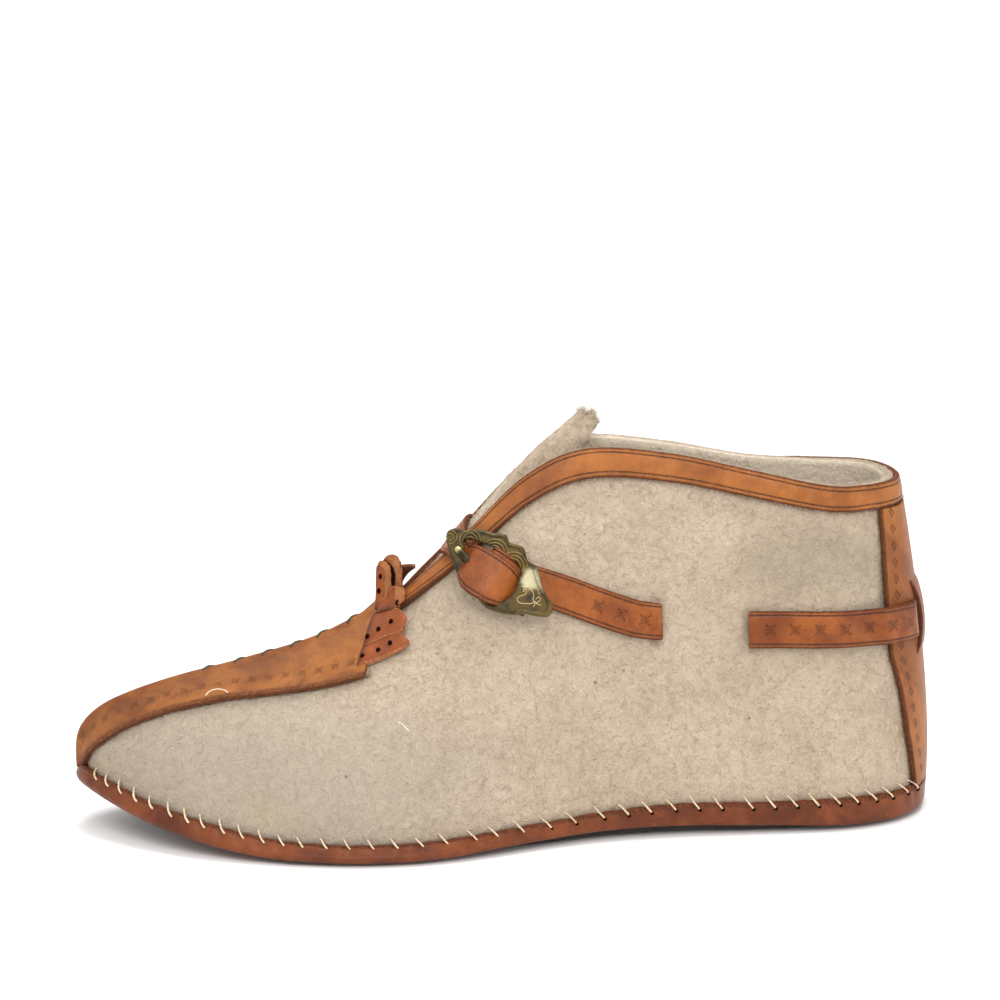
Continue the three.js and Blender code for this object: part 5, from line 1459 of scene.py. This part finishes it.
def build_edge_hairs(band_s, band_low):
    """Hairs of leather along the cut edges of the strips and of the collar band's lower edge."""
    rng = np.random.default_rng(5)
    roots, normals = [], []

    def along(s, rise, side, off=0.7):
        q = over_felt(s, rise, side, off + rng.uniform(-0.5, 0.9, s.shape))
        roots.append(q + rng.normal(0, 0.22, q.shape))
        normals.append(felt_normal(s, rise, side))
    for side in (LATERAL, MEDIAL):
        w = np.full(1500, float(side))
        s = rng.uniform(11.4, 17.6, 1500)
        along(s, share_at(STRIP_EDGES, s), w)
        z = rng.uniform(FELT_EDGE + RIM, float(top_point(0, side)[2]) - 9, 1200)
        z = z[np.abs(z - height_of(STRAP_RISE)) > 7]
        s = share_at(HEEL_REACHES, (z - FELT_EDGE) / COLLAR_RISE)
        along(s, rise_at(s, z, w[:1]), w[0] + 0 * s)
        half = len(band_s) // 2
        pick = rng.integers(0, half, 1500) + (0 if side == LATERAL else half)
        along(band_s[pick], band_low[pick], w, 0.9)
    fibres("leather_hairs", np.concatenate(roots), np.concatenate(normals), 0.75, HAIR_RADIUS,
           LEATHER_HAIR, 0.5)


# dark lacing over the seam of the toe strip: across the picture (pixels); and the line of one lace:
# sections ahead, share of the rise to the inner side, height over the strip
LACING_PIXELS = [207.6, 239, 267, 295.5, 321.8, 352.2]
LACE = [(-0.09, 0.03, 0.2), (-0.05, 0.015, 0.7), (0.0, 0.005, 0.9), (0.05, -0.004, 0.7), (0.08, -0.012, 0.2)]
# two loose ends of white thread (pixels)
LOOSE_PIXELS = [[(205.5, 695.5), (210, 691), (217, 689), (224, 690), (228, 692.5)],
                [(398, 722), (402, 724), (405, 727), (409, 731)]]
LACE_RADIUS, LACE_SIGHT, THREAD_RADIUS, THREAD_OFF = 0.42, 0.6, 0.16, 3.4


def build_threads():
    s = np.linspace(THROAT, LAST, 900)
    ridge = project(over_felt(s, 1 + 0 * s, LATERAL, TRIM + STRIP_LIFT + LACE_SIGHT))[..., 0]
    order = np.argsort(ridge)
    parts = []
    for at in np.interp(LACING_PIXELS, ridge[order], s[order]):
        path = []
        for ahead, share, up in LACE:
            side = LATERAL if share < 0 else MEDIAL
            place = np.array(at + ahead), np.array(1 - abs(share))
            path.append(over_felt(*place, side, TRIM + STRIP_LIFT + up))
        parts.append(tube(smooth_rows(path, 4), LACE_RADIUS))
    piece("seam_lacing", *join(parts), GREEN_THREAD, "trim_leather", merge=0)
    table = picture_table((8, 18.5, 300), (0.1, 1, 120), 2.6)
    parts = []
    for pixels in LOOSE_PIXELS:
        path = [picture_place(px, py, THREAD_OFF, table)[0] for px, py in pixels]
        parts.append(tube(smooth_rows(path, 5), THREAD_RADIUS, 6))
    piece("loose_thread", *join(parts), WHITE_THREAD, "felt", merge=0)


build_upper()
build_sole()
build_stitches()
build_bottom()
band_edge = build_band()
build_heel()
build_toe()
build_strap()
build_buckle()
build_fringe()
build_wool(build_tongue())
build_edge_hairs(*band_edge)
build_threads()

# Floor and light, in metres: the floor glows away from the boot, for a white sweep behind it
FLOOR_HALF, FLOOR_LEVEL, FLOOR_GLOW = 9, -0.0005, 0.55
GLOW_CENTRE, GLOW_NEAR, GLOW_FAR = (-0.095, 0, 0), 0.6, 1.5
WORLD_STRENGTH = 0.76
LIGHT_AIM = Vector((-0.1, 0, 0.05))
# name, place, size, power, colour
LAMPS = [("key", (-0.25, -0.95, 0.95), 0.7, 8.5, (1.0, 0.98, 0.95)),
         ("fill", (0.8, -0.9, 0.5), 0.9, 4, (1.0, 1.0, 1.0)),
         ("top", (-0.02, 0.15, 1.1), 0.7, 9, (1.0, 1.0, 1.0)),
         ("front", (-1.0, -0.25, 0.8), 0.8, 2, (1.0, 1.0, 1.0))]


def studio():
    bpy.context.scene.view_settings.view_transform = "Standard"
    mesh = bpy.data.meshes.new("floor")
    corners = [(-1, -1), (1, -1), (1, 1), (-1, 1)]
    mesh.from_pydata([(FLOOR_HALF * x, FLOOR_HALF * y, FLOOR_LEVEL) for x, y in corners], [], [(0, 1, 2, 3)])
    floor = bpy.data.objects.new("floor", mesh)
    bpy.context.scene.collection.objects.link(floor)
    g = Graph("pale_floor")
    away = g.add("VectorMath", {0: g.coord, 1: GLOW_CENTRE}, "Value", operation="DISTANCE")
    glow = away.ramp(GLOW_FAR, GLOW_NEAR) * -FLOOR_GLOW + FLOOR_GLOW
    tone = g.mix(g.noise(3, 2), (0.90, 0.90, 0.90), (0.93, 0.93, 0.93))
    mesh.materials.append(g.finish(Base_Color=tone, Roughness=0.9, Emission_Color=(1.0, 1.0, 1.0),
                                   Emission_Strength=glow))
    world = bpy.data.worlds.new("studio")
    world.use_nodes = True
    background = world.node_tree.nodes["Background"]
    background.inputs["Color"].default_value = (1, 1, 1, 1)
    background.inputs["Strength"].default_value = WORLD_STRENGTH
    bpy.context.scene.world = world
    for name, place, size, power, color in LAMPS:
        data = bpy.data.lights.new(name, "AREA")
        data.size = size
        data.energy = power
        data.color = color
        lamp = bpy.data.objects.new(name, data)
        lamp.location = place
        lamp.rotation_euler = (LIGHT_AIM - Vector(place)).to_track_quat("-Z", "Y").to_euler()
        bpy.context.scene.collection.objects.link(lamp)


studio()
